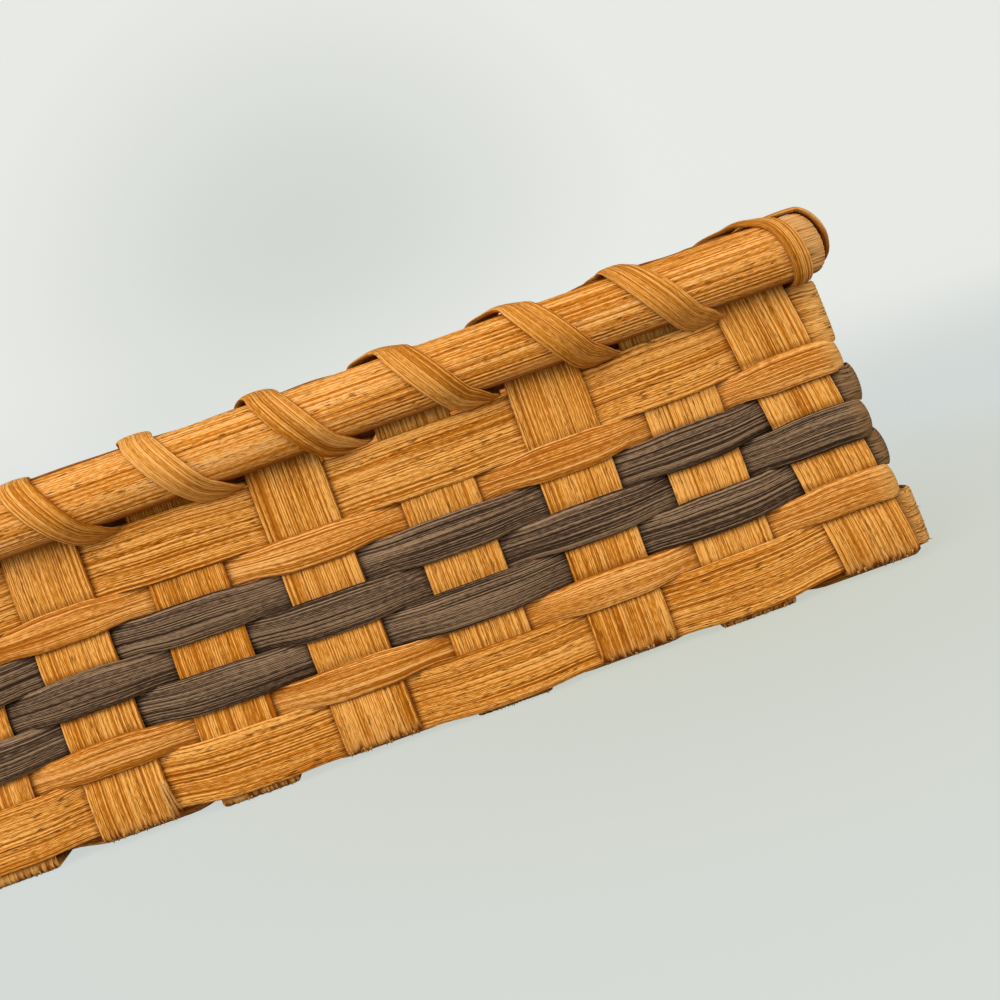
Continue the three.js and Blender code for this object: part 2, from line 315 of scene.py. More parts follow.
@dataclass
class Wall:
    """Plan of the four walls, which lean in, and where each stake stands on them.

    A place on the walls is a run round them from the middle of the front wall, towards +X first,
    a depth out of the middle of the stakes, and a height.

    Attributes:
        stakes_per_side: Stakes standing on each wall.
        stake_width: Width of a stake.
        stake_thickness: Thickness of a stake.
        stake_gap: Room between two stakes.
        corner_gap: Room between the last stake of a wall and the corner.
        corner_radius: How round a corner is at the middle of the stakes.
        top_inset: How far the walls lean in from the base to the rim's top.
        tightest_turn: Least radius of a corner.
        front_drift: How far each front stake strays to the right at its bottom and at its top.
        front_sag: How far the lowest and the highest rows rise at each front stake.
        drift: Most that the other stakes stray.
    """

    stakes_per_side: int = 9
    stake_width: float = 15.9
    stake_thickness: float = 1.1
    stake_gap: float = 9.9
    corner_gap: float = 4.0
    corner_radius: float = 2.2
    top_inset: float = 6.0
    tightest_turn: float = 0.4
    front_drift: tuple[tuple[float, float], ...] = (
        (-0.5, -1.5), (-1.0, -2.5), (-1.0, -4.0), (-2.0, -2.0), (-1.0, -2.0),
        (0.5, 1.0), (2.0, 4.0), (1.5, 3.5), (3.5, -3.0),
    )
    front_sag: tuple[tuple[float, float], ...] = (
        (0.5, 0.0), (1.0, 0.0), (1.5, 0.0), (0.0, 0.0), (-0.5, -1.5),
        (-1.0, -1.0), (-0.5, -1.0), (-0.5, 0.0), (1.0, 0.5),
    )
    drift: float = 0.7
    rim_bottom: float = field(init=False)
    rim_top: float = field(init=False)
    strays: np.ndarray = field(init=False)
    sags: np.ndarray = field(init=False)

    def __post_init__(self) -> None:
        """Take the rim's heights from the frame and draw how the stakes stray."""
        low, high = node_box("outer_rim")
        self.rim_bottom, self.rim_top = float(low[2]), float(high[2])
        draws = np.random.default_rng(SEED)
        self.strays = draws.uniform(-self.drift, self.drift, (self.stake_ends, 2))
        self.strays[: self.stakes_per_side] = self.front_drift
        self.sags = draws.uniform(-self.drift / 2, self.drift / 2, (self.stake_ends, 2))
        self.sags[: self.stakes_per_side] = self.front_sag

    @property
    def stake_ends(self) -> int:
        """Number of stake ends round the four walls."""
        return 4 * self.stakes_per_side

    @property
    def pitch(self) -> float:
        """Distance from stake to stake."""
        return self.stake_width + self.stake_gap

    @property
    def half_straight(self) -> float:
        """Half the flat part of a wall."""
        return self.half_side - self.corner_radius

    @property
    def half_side(self) -> float:
        """Half a wall's length at the base."""
        return (self.stakes_per_side - 1) / 2 * self.pitch + self.stake_width / 2 + self.corner_gap

    @property
    def side_run(self) -> float:
        """Run from the middle of one wall to the middle of the next."""
        return 2 * self.half_straight + self.corner_radius * math.pi / 2

    @property
    def turn(self) -> float:
        """Run once round the four walls."""
        return 4 * self.side_run

    def offset(self, number: float) -> float:
        """Distance of a numbered stake from the middle of its wall."""
        return (number - (self.stakes_per_side + 1) / 2) * self.pitch

    def stray(self, end: int, height: np.ndarray) -> np.ndarray:
        """How far along the run a stake's end strays at a height."""
        low, high = self.strays[end % self.stake_ends]
        return low + (high - low) * np.clip(height / self.rim_top, 0, 1)

    def sag(self, end: int, height: float) -> float:
        """How far a row at a height rises where it passes a stake's end."""
        low, high = self.sags[end % self.stake_ends]
        return float(low + (high - low) * min(height / self.rim_top, 1.0))

    def stake_run(self, end: int, height: float = 0.0) -> float:
        """Run at which a stake's end stands, ends counted from the left of the front wall."""
        side, place = divmod(end, self.stakes_per_side)
        return side * self.side_run + self.offset(place + 1) + float(self.stray(end, height))

    def onward_run(self, end: int, height: float = 0.0) -> float:
        """The same for ends that are counted on past one full turn."""
        turns, place = divmod(end, self.stake_ends)
        return self.stake_run(place, height) + self.turn * turns

    def plan(self, run: np.ndarray, depth: np.ndarray) -> tuple[np.ndarray, np.ndarray, np.ndarray]:
        """Turn runs and depths into a plan, before the walls lean.

        Args:
            run: Runs round the walls.
            depth: Depths out of the middle of the stakes.

        Returns:
            X, Y and the direction of the wall as an angle.
        """
        run, depth = np.broadcast_arrays(run, depth)
        side = np.round(run / self.side_run)
        along = run - side * self.side_run
        radius = np.maximum(self.corner_radius + depth, self.tightest_turn)
        straight = self.half_side + depth - radius
        past = np.abs(along) - self.half_straight
        turn = np.where(past > 0, np.sign(along) * past / self.corner_radius, 0.0)
        flat = along * straight / self.half_straight
        across = np.where(past > 0, np.sign(along) * straight, flat) + radius * np.sin(turn)
        inward = -straight - radius * np.cos(turn)
        angle = side * math.pi / 2
        x = across * np.cos(angle) - inward * np.sin(angle)
        y = across * np.sin(angle) + inward * np.cos(angle)
        return x, y, turn + angle

    def leaned(self, x: np.ndarray, y: np.ndarray, z: np.ndarray) -> np.ndarray:
        """Lean places in with their height, and stack them as points."""
        scale = 1 - self.top_inset / self.half_side * (z / self.rim_top)
        return np.stack(np.broadcast_arrays(x * scale, y * scale, z), axis=-1)

    def to_corner(self, run: np.ndarray) -> np.ndarray:
        """Give how far past the nearest corner each run is, below 0 before it."""
        return ((run / self.side_run) % 1.0 - 0.5) * self.side_run

    def points(self, run: np.ndarray, depth: np.ndarray, height: np.ndarray) -> np.ndarray:
        """Turn places on the walls into points."""
        x, y, _ = self.plan(run, depth)
        return self.leaned(x, y, height)


@dataclass
class Relief:
    """Grooves that run along a split strip's grain, cut into its faces.

    Attributes:
        depth: Depth of the deepest grooves.
        length: About how far a groove runs before it fades.
        spacing: About how far apart grooves lie.
        bareness: Share of the face that stays smooth, from 0 to 1.
        sway: How far a groove sways to its sides, in spacings.
        sway_width: How many spacings sway together.
        sharpness: How narrow the grooves are.
        patchiness: How much the depth varies from place to place.
    """

    # Where in the wandering the grooves' sway and strength are read.
    SWAY_FROM: ClassVar[float] = 17.0
    STRENGTH_FROM: ClassVar[tuple[float, float]] = (91.0, 53.0)

    depth: float
    length: float
    spacing: float
    bareness: float = 0.45
    sway: float = 0.55
    sway_width: float = 2.3
    sharpness: float = 1.8
    patchiness: float = 0.7

    def cut(self, wander: Wander, along: np.ndarray, across: np.ndarray) -> np.ndarray:
        """Work out how deep the grooves are.

        Args:
            wander: Wandering that places the grooves.
            along: Distance along the grain at each ring.
            across: Distance across the grain at each place, or at each ring and place.

        Returns:
            Share of the full depth at each ring and place, from 0 to 1.
        """
        places = np.broadcast_to(across, (len(along), np.shape(across)[-1])) / self.spacing
        reach = along[:, None] / self.length
        shift = self.sway * wander.over(reach + self.SWAY_FROM, places / self.sway_width)
        groove = (0.5 + 0.5 * np.cos(2 * math.pi * (places + shift))) ** self.sharpness
        from_along, from_across = self.STRENGTH_FROM
        strength = wander.over(2.0 * reach + from_along, places + from_across)
        return groove * np.clip(0.9 - self.bareness + self.patchiness * strength, 0, 1)


@dataclass
class Piece:
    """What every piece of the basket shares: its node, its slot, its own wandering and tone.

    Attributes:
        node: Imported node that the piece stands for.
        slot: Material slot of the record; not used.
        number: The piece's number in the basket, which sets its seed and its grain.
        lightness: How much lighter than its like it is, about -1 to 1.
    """

    # How far the tone strays by chance, and the patch of grain, long and wide, that each piece has.
    CHANCE: ClassVar[float] = 0.25
    GRAIN_PATCH: ClassVar[tuple[float, float]] = (1370.0, 211.0)
    PATCHES: ClassVar[int] = 8

    node: str
    slot: str
    number: int
    lightness: float = field(default=0.0, kw_only=True)

    def wander(self) -> Wander:
        """Give the piece's own wandering."""
        return Wander(SEED + 101 * self.number)

    def tone(self) -> float:
        """Give the piece's own tone, darker below 0 and lighter above."""
        draws = np.random.default_rng(SEED + 7 * self.number)
        return self.lightness + float(draws.uniform(-self.CHANCE, self.CHANCE))

    def grain(self, along: np.ndarray, across: np.ndarray) -> tuple[np.ndarray, np.ndarray]:
        """Move the grain's coordinates to a patch of their own, so that no two pieces match."""
        across_patch, along_patch = divmod(self.number, self.PATCHES)
        long, wide = self.GRAIN_PATCH
        return along + long * along_patch, across + wide * across_patch

    def mesh(self, strips: list[Strip]) -> bpy.types.Object:
        """Make the piece's object from its strips."""
        maker = MeshMaker(f"{self.node}_look")
        for strip in strips:
            maker.add(strip)
        return maker.piece()

    def dress(self, piece: bpy.types.Object, finish: "Finish") -> None:
        """Give the piece its finish and its place in the frame.

        Args:
            piece: The made piece.
            finish: What it is finished in.
        """
        piece.data.materials.append(finish.material())
        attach(piece, BODY)
        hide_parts(self.node)
        LOG.info("%s: %d faces", piece.name, len(piece.data.polygons))


@dataclass
class Rows:
    """The woven rows, top to bottom, as the frame holds them, with the rim row first.

    Attributes:
        nodes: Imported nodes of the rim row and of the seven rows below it.
        squeeze: Share of each row's width that is left where it passes between its neighbours.
        spread: How much farther each row reaches up and down than in the frame.
        clearance: Room between pieces.
    """

    nodes: tuple[str, ...] = (
        "rim_row", "weaver_top_wide", "weaver_upper_narrow", "weaver_grey_upper", "weaver_grey_middle",
        "weaver_grey_lower", "weaver_lower_narrow", "weaver_bottom_wide",
    )
    squeeze: tuple[float, ...] = (1.0, 0.96, 0.8, 0.89, 0.89, 0.92, 0.82, 0.96)
    spread: tuple[tuple[float, float], ...] = (
        (1.2, 0.0), (1.4, 0.0), (0.0, 0.0), (0.0, 0.0), (0.0, 0.0), (0.0, 0.0), (0.0, 0.0), (0.0, 0.9),
    )
    clearance: float = 0.3

    def height(self, row: int) -> float:
        """Height of the middle of a row."""
        low, high = node_box(self.nodes[row])
        up, down = self.spread[row]
        return (float(low[2] + high[2]) + up - down) / 2

    def width(self, row: int) -> float:
        """Full width of a row."""
        low, high = node_box(self.nodes[row])
        return float(high[2] - low[2]) + sum(self.spread[row])

    def pinched(self, row: int) -> float:
        """Width of a row where it passes between its neighbours."""
        return self.squeeze[row] * self.width(row)

    @staticmethod
    def is_outside(row: int, end: int) -> bool:
        """Tell whether a row passes outside a stake's end."""
        return (row + end) % 2 == 0


@dataclass
class Sliver:
    """A thin torn fibre that stands off a strip, given in the strip's own side, depth and height.

    Attributes:
        root: Where it is held.
        tip: Where it ends.
        width: Its width at the root.
        bow: How far its middle bows out.
        painted_shade: How much painted shade darkens it, from 0 to 1.
    """

    # Rings from the root to the tip, how wide each is, and the corners round each.
    SHARES: ClassVar[tuple[float, ...]] = (0.0, 0.35, 0.7, 1.0)
    TAPER: ClassVar[tuple[float, ...]] = (1.0, 0.85, 0.55, 0.1)
    CORNERS: ClassVar[tuple[tuple[float, float], ...]] = ((-1.0, 0.0), (0.0, 0.35), (1.0, 0.0), (0.0, -0.35))
    # How long its grain is, how far apart the grain of two widths lies, and the step round it.
    GRAIN_LENGTH: ClassVar[float] = 3.0
    GRAIN_APART: ClassVar[float] = 400.0
    GRAIN_STEP: ClassVar[float] = 0.2

    root: np.ndarray
    tip: np.ndarray
    width: float
    bow: float = 0.0
    painted_shade: float = 0.3

    def places(self) -> np.ndarray:
        """Give rings of places from the root to the tip."""
        share = np.array(self.SHARES)
        middle = self.root + (self.tip - self.root) * share[:, None]
        middle[:, 1] += self.bow * np.sin(share * math.pi)
        half = self.width / 2 * np.array(self.TAPER)
        corners = np.array(self.CORNERS)
        rings = np.repeat(middle[:, None], len(corners), axis=1)
        rings[..., :2] += half[:, None, None] * corners
        return rings

    def strip(self, rings: np.ndarray, tone: float) -> Strip:
        """Give the fibre as a strip, from its rings of points and the tone of its piece."""
        level = np.zeros(rings.shape[:2])
        along = np.linspace(0, self.GRAIN_LENGTH, len(rings)) + self.GRAIN_APART * self.width
        marks = {"hollow": level, "frayed": level + 1, "shade": level + self.painted_shade, "tone": level + tone}
        return Strip(rings, along, np.arange(rings.shape[1]) * self.GRAIN_STEP, marks)


@dataclass(frozen=True)
class Tear:
    """Limits between which the torn fibres of one place are drawn.

    Attributes:
        turn: Where round the bend a fibre is held, or which way it points, in radians.
        place: Where across the strip it is held, in widths from its middle.
        length: How far it hangs or reaches.
        stand: How far it stands off the strip.
        lean: How far it leans to its side.
        width: How wide it is.
        bow: How far it bows.
        painted_shade: How much painted shade darkens it.
        bury: How deep its root is set in the strip.
        root: How far back along the strip its root lies, where it stands off a corner.
    """

    turn: tuple[float, float]
    place: tuple[float, float] = (-0.48, 0.48)
    length: tuple[float, float] = (0.4, 1.2)
    stand: tuple[float, float] = (0.15, 0.6)
    lean: tuple[float, float] = (-0.5, 0.5)
    width: tuple[float, float] = (0.25, 0.7)
    bow: tuple[float, float] = (0.0, 0.2)
    painted_shade: tuple[float, float] = (0.3, 1.0)
    bury: float = 0.15
    root: float = 0.6


@dataclass
class Stake(Piece):
    """A flat strip that runs up one wall, across the base and up the opposite wall.

    Attributes:
        wall: The walls.
        rows: The rows that the stake passes.
        is_front_back: Whether it runs from front to back, or from left to right.
        place: Its place in its set, from 1.
        crease: Radius of its middle at the two bends.
        bow: How far the rows push it in and out.
        step: Distance between rings on the walls.
        base_step: Distance between rings on the base.
        base_hold: How far past the edges of a crossed stake it stays on its layer.
        uneven: Share of its width by which it wanders.
        uneven_length: About how far apart its widest places are.
        row_shade: How dark the painted shade is along the edges of the rows, from 0 to 1, and how far it
            reaches.
        rim_shade: The same for the painted shade under the rim.
        foot_shade: The same for the painted shade in the crease, up from the bend.
        tear_wear_and_shade: The same past the ends of the torn fibres, where the painted shade of the bend
            reaches ragged up the darker torn fibres.
        tear_height: About how far up the fibres are torn, and by how much less on the whole.
        foot: How far in from the wall's face the painted shade reaches.
        fray_count: How many torn fibres stand along each bend.
        tear: What those fibres are like.
        splits: Longer fibres that have split off its near wall.
    """

    # Fibres across half the width, how long they run and where in the wandering they are read.
    FIBRES: ClassVar[float] = 24.0
    FIBRE_LENGTH: ClassVar[float] = 4.0
    FIBRES_FROM: ClassVar[float] = 7.0
    # Rings round the bend, how high it is frayed, and half the width of the grain.
    BEND_RINGS: ClassVar[int] = 6
    FRAYED_TO: ClassVar[float] = 8.0
    GRAIN_HALF: ClassVar[float] = 8.0

    wall: Wall
    rows: Rows
    is_front_back: bool
    place: int
    crease: float = 1.15
    bow: float = 0.3
    step: float = 1.2
    base_step: float = 1.92
    base_hold: float = 0.5
    uneven: float = 0.012
    uneven_length: float = 23.0
    row_shade: tuple[float, float] = (0.75, 0.5)
    rim_shade: tuple[float, float] = (0.2, 1.2)
    foot_shade: tuple[float, float] = (0.2, 6.0)
    tear_wear_and_shade: tuple[float, float] = (1.0, 0.9)
    tear_height: tuple[float, float] = (2.2, 0.3)
    foot: float = 1.5
    fray_count: int = 34
    tear: Tear = Tear(turn=(0.3, 1.4))
    splits: tuple[Sliver, ...] = ()
    section: Section = field(default_factory=lambda: Section(face_points=81, back_points=21))
    relief: Relief = field(default_factory=lambda: Relief(0.14, 60.0, 1.0, 0.35))

    def ends(self) -> tuple[tuple[int, int], tuple[int, int]]:
        """Give the number of the near and the far end, each with the way that a stray counts."""
        side = self.wall.stakes_per_side
        if self.is_front_back:
            return (self.place - 1, 1), (3 * side - self.place, -1)
        return (4 * side - self.place, -1), (side - 1 + self.place, 1)

    def layer(self, crossed: int) -> float:
        """Height of the stake's middle where it crosses a base stake."""
        is_upper = ((self.place + crossed) % 2 == 0) == self.is_front_back
        thickness = self.wall.stake_thickness
        return thickness / 2 + (thickness + self.rows.clearance if is_upper else 0.0)

    def half_wall(self) -> tuple[np.ndarray, np.ndarray]:
        """Give how far out and how high the middle is, from the wall's top down through the crease."""
        top = float(node_box(self.node)[1][2])
        low = self.layer(1) + self.crease
        end = self.ends()[0][0]
        order = range(len(self.rows.nodes) - 1, 0, -1)
        knots = [low, *(self.rows.height(row) for row in order), self.wall.rim_bottom, top]
        push = [0.0, *(-self.bow if Rows.is_outside(row, end) else self.bow for row in order), 0.0, 0.0]
        height = np.linspace(top, low, int((top - low) / self.step) + 1)
        out = self.wall.half_side + eased_steps(height, knots, push)
        angle = np.linspace(0, math.pi / 2, self.BEND_RINGS)[1:]
        bend_out = self.wall.half_side - self.crease * (1 - np.cos(angle))
        bend_height = low - self.crease * np.sin(angle)
        return np.append(out, bend_out), np.append(height, bend_height)

    def middle(self) -> tuple[np.ndarray, np.ndarray]:
        """Give the middle line from the near wall's top to the far wall's top."""
        wall, reach = self.wall, self.wall.stake_width / 2 + self.base_hold
        out, height = self.half_wall()
        inner = wall.half_side - self.crease
        base = np.linspace(-inner, inner, int(2 * inner / self.base_step))[1:-1]
        edges = [(number, way) for number in range(1, wall.stakes_per_side + 1) for way in (-1, 1)]
        holds = (wall.offset(number) + way * reach for number, way in edges)
        knots = [-wall.half_side, *holds, wall.half_side]
        layers = [self.layer(1), *(self.layer(number) for number, _ in edges), self.layer(1)]
        run = np.concatenate([-out, base, out[::-1]])
        return run, np.concatenate([height, eased_steps(base, knots, layers), height[::-1]])

    def strays(self, run: np.ndarray, height: np.ndarray) -> np.ndarray:
        """Give how far the stake strays to its side all along its middle line."""
        (near, near_way), (far, far_way) = self.ends()
        share = np.clip(run / self.wall.half_side, -1, 1) / 2 + 0.5
        low = near_way * self.wall.stray(near, height)
        return low * (1 - share) + far_way * self.wall.stray(far, height) * share

    def shade(self, run: np.ndarray, height: np.ndarray) -> np.ndarray:
        """Give the painted shade along the edges of the rows that cross the stake, and under the rim."""
        (row_dark, row_reach), (rim_dark, rim_reach) = self.row_shade, self.rim_shade
        dark = np.zeros(run.shape)
        # Painted shade along both edges of each row that passes outside the stake.
        for row in range(1, len(self.rows.nodes)):
            half = self.rows.width(row) / 2
            for (end, _), is_there in zip(self.ends(), (run < 0, run > 0)):
                if Rows.is_outside(row, end):
                    middle = self.rows.height(row) + self.wall.sag(end, self.rows.height(row))
                    away = np.abs(np.abs(height - middle) - half)
                    dark = np.maximum(dark, row_dark * faded(away, row_reach) * is_there)
        # Painted shade under the rim, at full strength on the part hidden behind it.
        return np.maximum(dark, rim_dark * faded(np.minimum(height - self.wall.rim_bottom, 0), rim_reach))

    def tears(self, height: np.ndarray, torn: np.ndarray) -> np.ndarray:
        """Give how dark the two bends are: painted shade in the crease, reaching ragged up the darker torn
        fibres.
        """
        (foot_dark, foot_reach), (tear_dark, tear_reach) = self.foot_shade, self.tear_wear_and_shade
        # Painted shade fading up from the bend, held up to each fibre's torn height.
        up = (height - self.layer(1))[:, None]
        return foot_dark * faded(up, foot_reach) + tear_dark * faded(np.maximum(up - torn, 0.0), tear_reach)

    def fibre(self, sliver: Sliver, way: int) -> Strip:
        """Give a fibre that stands off the stake's near wall, way -1, or its far wall, way 1."""
        places = sliver.places()
        run = way * (self.wall.half_side + places[..., 1])
        side = self.wall.offset(self.place) + self.strays(run, places[..., 2]) + places[..., 0]
        lay = (side, run) if self.is_front_back else (run, side)
        return sliver.strip(self.wall.leaned(*lay, places[..., 2]), self.tone())

    def frays(self) -> list[Strip]:
        """Make the torn fibres that stand along the outside of the two bends."""
        draw, tear = np.random.default_rng(SEED + 13 * self.number).uniform, self.tear
        radius, low = self.crease + self.wall.stake_thickness / 2, self.layer(1) + self.crease
        strips = []
        for way in (-1, 1):
            for _ in range(self.fray_count):
                angle = draw(*tear.turn)
                face = np.array([0.0, math.cos(angle), -math.sin(angle)])
                down = np.array([0.0, -math.sin(angle), -math.cos(angle)])
                root = np.array([draw(*tear.place) * self.wall.stake_width, -self.crease, low])
                root += (radius - tear.bury) * face
                tip = root + draw(*tear.length) * down + draw(*tear.stand) * face
                tip += (draw(*tear.lean), 0.0, 0.0)
                tip[2] = max(tip[2], FLOOR_ROOM)
                sliver = Sliver(root, tip, draw(*tear.width), draw(*tear.bow), draw(*tear.painted_shade))
                strips.append(self.fibre(sliver, way))
        return strips

    def build(self) -> bpy.types.Object:
        """Make the stake.

        Returns:
            Its object.
        """
        wander = self.wander()
        run, height = self.middle()
        along = np.append(0, np.cumsum(np.hypot(np.diff(run), np.diff(height))))
        slope_run, slope_up = np.gradient(run, along), np.gradient(height, along)
        size = np.hypot(slope_run, slope_up)
        normal_run, normal_up = slope_up / size, -slope_run / size
        across, off = self.section.places()
        half = self.wall.stake_width / 2
        reach = half * (1 + self.uneven * wander.along(along / self.uneven_length))[:, None] * across
        cut = self.relief.cut(wander, along, self.section.groove_places(half))
        lift = off * (self.wall.stake_thickness / 2 - self.relief.depth * cut * np.abs(off) ** 4)
        side = self.wall.offset(self.place) + self.strays(run, height)[:, None] + reach
        rings_run = run[:, None] + normal_run[:, None] * lift
        rings_up = np.maximum(height[:, None] + normal_up[:, None] * lift, 0.0)
        lay = (side, rings_run) if self.is_front_back else (rings_run, side)
        from_bend = np.abs(np.abs(run) - self.wall.half_side) + np.abs(height - self.crease)
        fibres = wander.over(along[:, None] / self.FIBRE_LENGTH + self.FIBRES_FROM, across * self.FIBRES)
        tear_up, tear_down = self.tear_height
        # Painted shade along the rows' edges, under the rim and at the bends, kept to the outer face of the
        # walls.
        shade = np.maximum(self.shade(run, height)[:, None], self.tears(height, tear_up * fibres - tear_down))
        is_wall = (np.abs(run) > self.wall.half_side - self.foot)[:, None]
        marks = {
            "hollow": cut,
            "frayed": (faded(from_bend, 2.0) * (height < self.FRAYED_TO))[:, None],
            "shade": shade * is_wall * (off > 0),
            "tone": np.float64(self.tone()),
        }
        u, v = self.grain(along, self.section.grain_places(self.GRAIN_HALF))
        strip = Strip(self.wall.leaned(*lay, rings_up), u, v, marks)
        return self.mesh([strip, *self.frays(), *(self.fibre(sliver, -1) for sliver in self.splits)])


@dataclass
class Weaver(Piece):
    """A strip woven once round the walls, whose two ends meet behind a stake.

    Attributes:
        wall: The walls.
        rows: The rows.
        row: The row that it is, 1 at the top, 0 for the rim row.
        first_end: The stake's end behind which it begins.
        thickness: Its thickness.
        section: Its cross section.
        relief: The grooves in its faces.
        tight: Room left between it and the stakes.
        bow: How far it pushes the stakes in and out.
        step: Distance between rings.
        hold: Share of a stake's width, to each side of its middle, over which the strip lies level.
        pinch: How far from the middle of a gap the strip has its full width again.
        corner_pinch: The same for a gap at a corner.
        painted_shade: How dark the painted shade is along the edges of the stakes, from 0 to 1, and how far it
            reaches.
        flare: How far it stands out at the corners.
        flare_past: How far past a corner it stands out most.
        flare_reach: How far along the flare fades.
        roll: How far it rolls about its length, as a slope.
        wave: How far its edges wave up and down.
        butt: Half the room where its two ends meet.
        fray_count: How many broken fibres stand off each corner.
        tear: What those fibres are like.
    """

    # How long the roll and the wave are, how far the corners are frayed, and where fibres break.
    ROLL_LENGTH: ClassVar[float] = 41.0
    WAVE_LENGTH: ClassVar[float] = 9.0
    FRAYED_REACH: ClassVar[float] = 3.0
    FRAYS_FROM: ClassVar[tuple[float, float]] = (0.6, 1.1)

    wall: Wall
    rows: Rows
    row: int
    first_end: int
    thickness: float
    section: Section
    relief: Relief
    tight: float = 0.08
    bow: float = 0.3
    step: float = 1.0
    hold: float = 0.41
    pinch: float = 9.0
    corner_pinch: float = 2.5
    painted_shade: tuple[float, float] = (0.85, 0.6)
    flare: float = 0.0
    flare_past: float = 1.5
    flare_reach: float = 2.2
    roll: float = 0.05
    wave: float = 0.0
    butt: float = 0.15
    fray_count: int = 0
    tear: Tear = Tear(turn=(0.3, 0.8), length=(0.8, 1.8), lean=(-0.6, 0.2), width=(0.25, 0.6))

    def passes(self) -> tuple[np.ndarray, np.ndarray, np.ndarray]:
        """Give the stakes that the strip passes in turn.

        Returns:
            Their runs, the strip's side at each, 1 outside and -1 inside, and whether a corner comes next.
        """
        height = self.rows.height(self.row)
        ends = np.arange(self.first_end, self.first_end + self.wall.stake_ends + 1)
        runs = [self.wall.onward_run(end, height) for end in ends]
        sides = [1.0 if Rows.is_outside(self.row, end) else -1.0 for end in ends]
        return np.array(runs), np.array(sides), (ends + 1) % self.wall.stakes_per_side == 0

    def sway(self, run: np.ndarray) -> np.ndarray:
        """Tell how the strip weaves: 1 outside a stake, -1 inside, and between in the gaps."""
        runs, sides, _ = self.passes()
        hold = self.hold * self.wall.stake_width
        return eased_steps(run, np.stack([runs - hold, runs + hold], axis=1).ravel(), np.repeat(sides, 2))

    def width(self, run: np.ndarray) -> np.ndarray:
        """Give the strip's width, which is least in the middle of each gap."""
        runs, _, is_corner = self.passes()
        index = np.clip(np.searchsorted(runs, run) - 1, 0, len(runs) - 2)
        away = np.abs(run - (runs[index] + runs[index + 1]) / 2)
        full, pinched = self.rows.width(self.row), self.rows.pinched(self.row)
        reach = np.where(is_corner[index], self.corner_pinch, self.pinch)
        return pinched + (full - pinched) * eased(away / reach)

    def shade(self, run: np.ndarray, off: np.ndarray) -> np.ndarray:
        """Give the painted shade where the strip slips under a stake's edge, or all over on the rim row, which
        is painted dark as if in shade wherever it shows.
        """
        if self.row == 0:
            return np.ones((len(run), len(off)))
        runs, sides, _ = self.passes()
        amount, reach = self.painted_shade
        dark = faded(np.maximum(np.abs(run[:, None] - runs) - self.wall.stake_width / 2, 0), reach)
        outside, inside = (dark * (sides < 0)).max(axis=1), (dark * (sides > 0)).max(axis=1)
        return amount * np.where(off > 0, outside[:, None], inside[:, None])

    def sag(self, run: np.ndarray) -> np.ndarray:
        """Tell how far the strip rises above its own height."""
        height = self.rows.height(self.row)
        ends = range(self.first_end - 1, self.first_end + self.wall.stake_ends + 2)
        knots = [self.wall.onward_run(end) for end in ends]
        rises = [self.wall.sag(end, height) * (self.row > 0) for end in ends]
        return eased_steps(run, np.array(knots), np.array(rises))

    def reach(self, run: np.ndarray) -> np.ndarray:
        """Give the depth of the strip's middle at each run."""
        swing = self.wall.stake_thickness / 2 + self.tight + self.thickness / 2 - self.bow * (self.row > 0)
        past = self.wall.to_corner(run) - self.flare_past
        return self.sway(run) * swing + self.flare * faded(past, self.flare_reach)

    def frays(self) -> list[Strip]:
        """Make the fibres that broke, and stand straight out, where the strip bends round the corners."""
        draw, tear = np.random.default_rng(SEED + 17 * self.number).uniform, self.tear
        wall, first = self.wall, self.wall.onward_run(self.first_end)
        strips = []
        for side in range(4):
            for _ in range(self.fray_count):
                past = draw(*self.FRAYS_FROM) * wall.corner_radius
                run = np.array([side * wall.side_run + wall.half_straight + past])
                run += wall.turn * math.ceil((first - run[0]) / wall.turn)
                x, y, angle = wall.plan(run, self.reach(run) + self.thickness / 2 - tear.bury)
                way = angle[0] - draw(*tear.turn)
                up = self.rows.height(self.row) + float(self.sag(run)[0])
                up += draw(*tear.place) * self.rows.width(self.row)
                tip = np.array([up + draw(*tear.lean), 0.0, draw(*tear.length)])
                sliver = Sliver(np.array([up, 0.0, -tear.root]), tip, draw(*tear.width))
                height, out, ahead = np.moveaxis(sliver.places(), -1, 0)
                x = x[0] + ahead * math.cos(way) + out * math.sin(way)
                y = y[0] + ahead * math.sin(way) - out * math.cos(way)
                strips.append(sliver.strip(wall.leaned(x, y, height), self.tone()))
        return strips

    def build(self) -> bpy.types.Object:
        """Make the row.

        Returns:
            Its object.
        """
        wander = self.wander()
        height = self.rows.height(self.row)
        turn, first = self.wall.turn, self.wall.onward_run(self.first_end, height)
        run = np.linspace(first + self.butt, first + turn - self.butt, int(turn / self.step))
        half = self.rows.width(self.row) / 2
        across, off = self.section.places()
        cut = self.relief.cut(wander, run, self.section.groove_places(half))
        lift = off * (self.thickness / 2 - self.relief.depth * cut * np.minimum(np.abs(off) ** 4, 1))
        roll = self.roll * wander.along(run / self.ROLL_LENGTH)[:, None] * across * half
        depth = self.reach(run)[:, None] + lift + roll
        rise = height + self.sag(run) + self.wave * wander.along(run / self.WAVE_LENGTH)
        up = rise[:, None] + self.width(run)[:, None] / 2 * across
        u, v = self.grain(run, self.section.grain_places(half))
        marks = {
            "hollow": cut,
            "frayed": faded(self.wall.to_corner(run), self.FRAYED_REACH)[:, None],
            "shade": self.shade(run, off),
            "tone": np.float64(self.tone()),
        }
        return self.mesh([Strip(self.wall.points(run[:, None], depth, up), u, v, marks), *self.frays()])


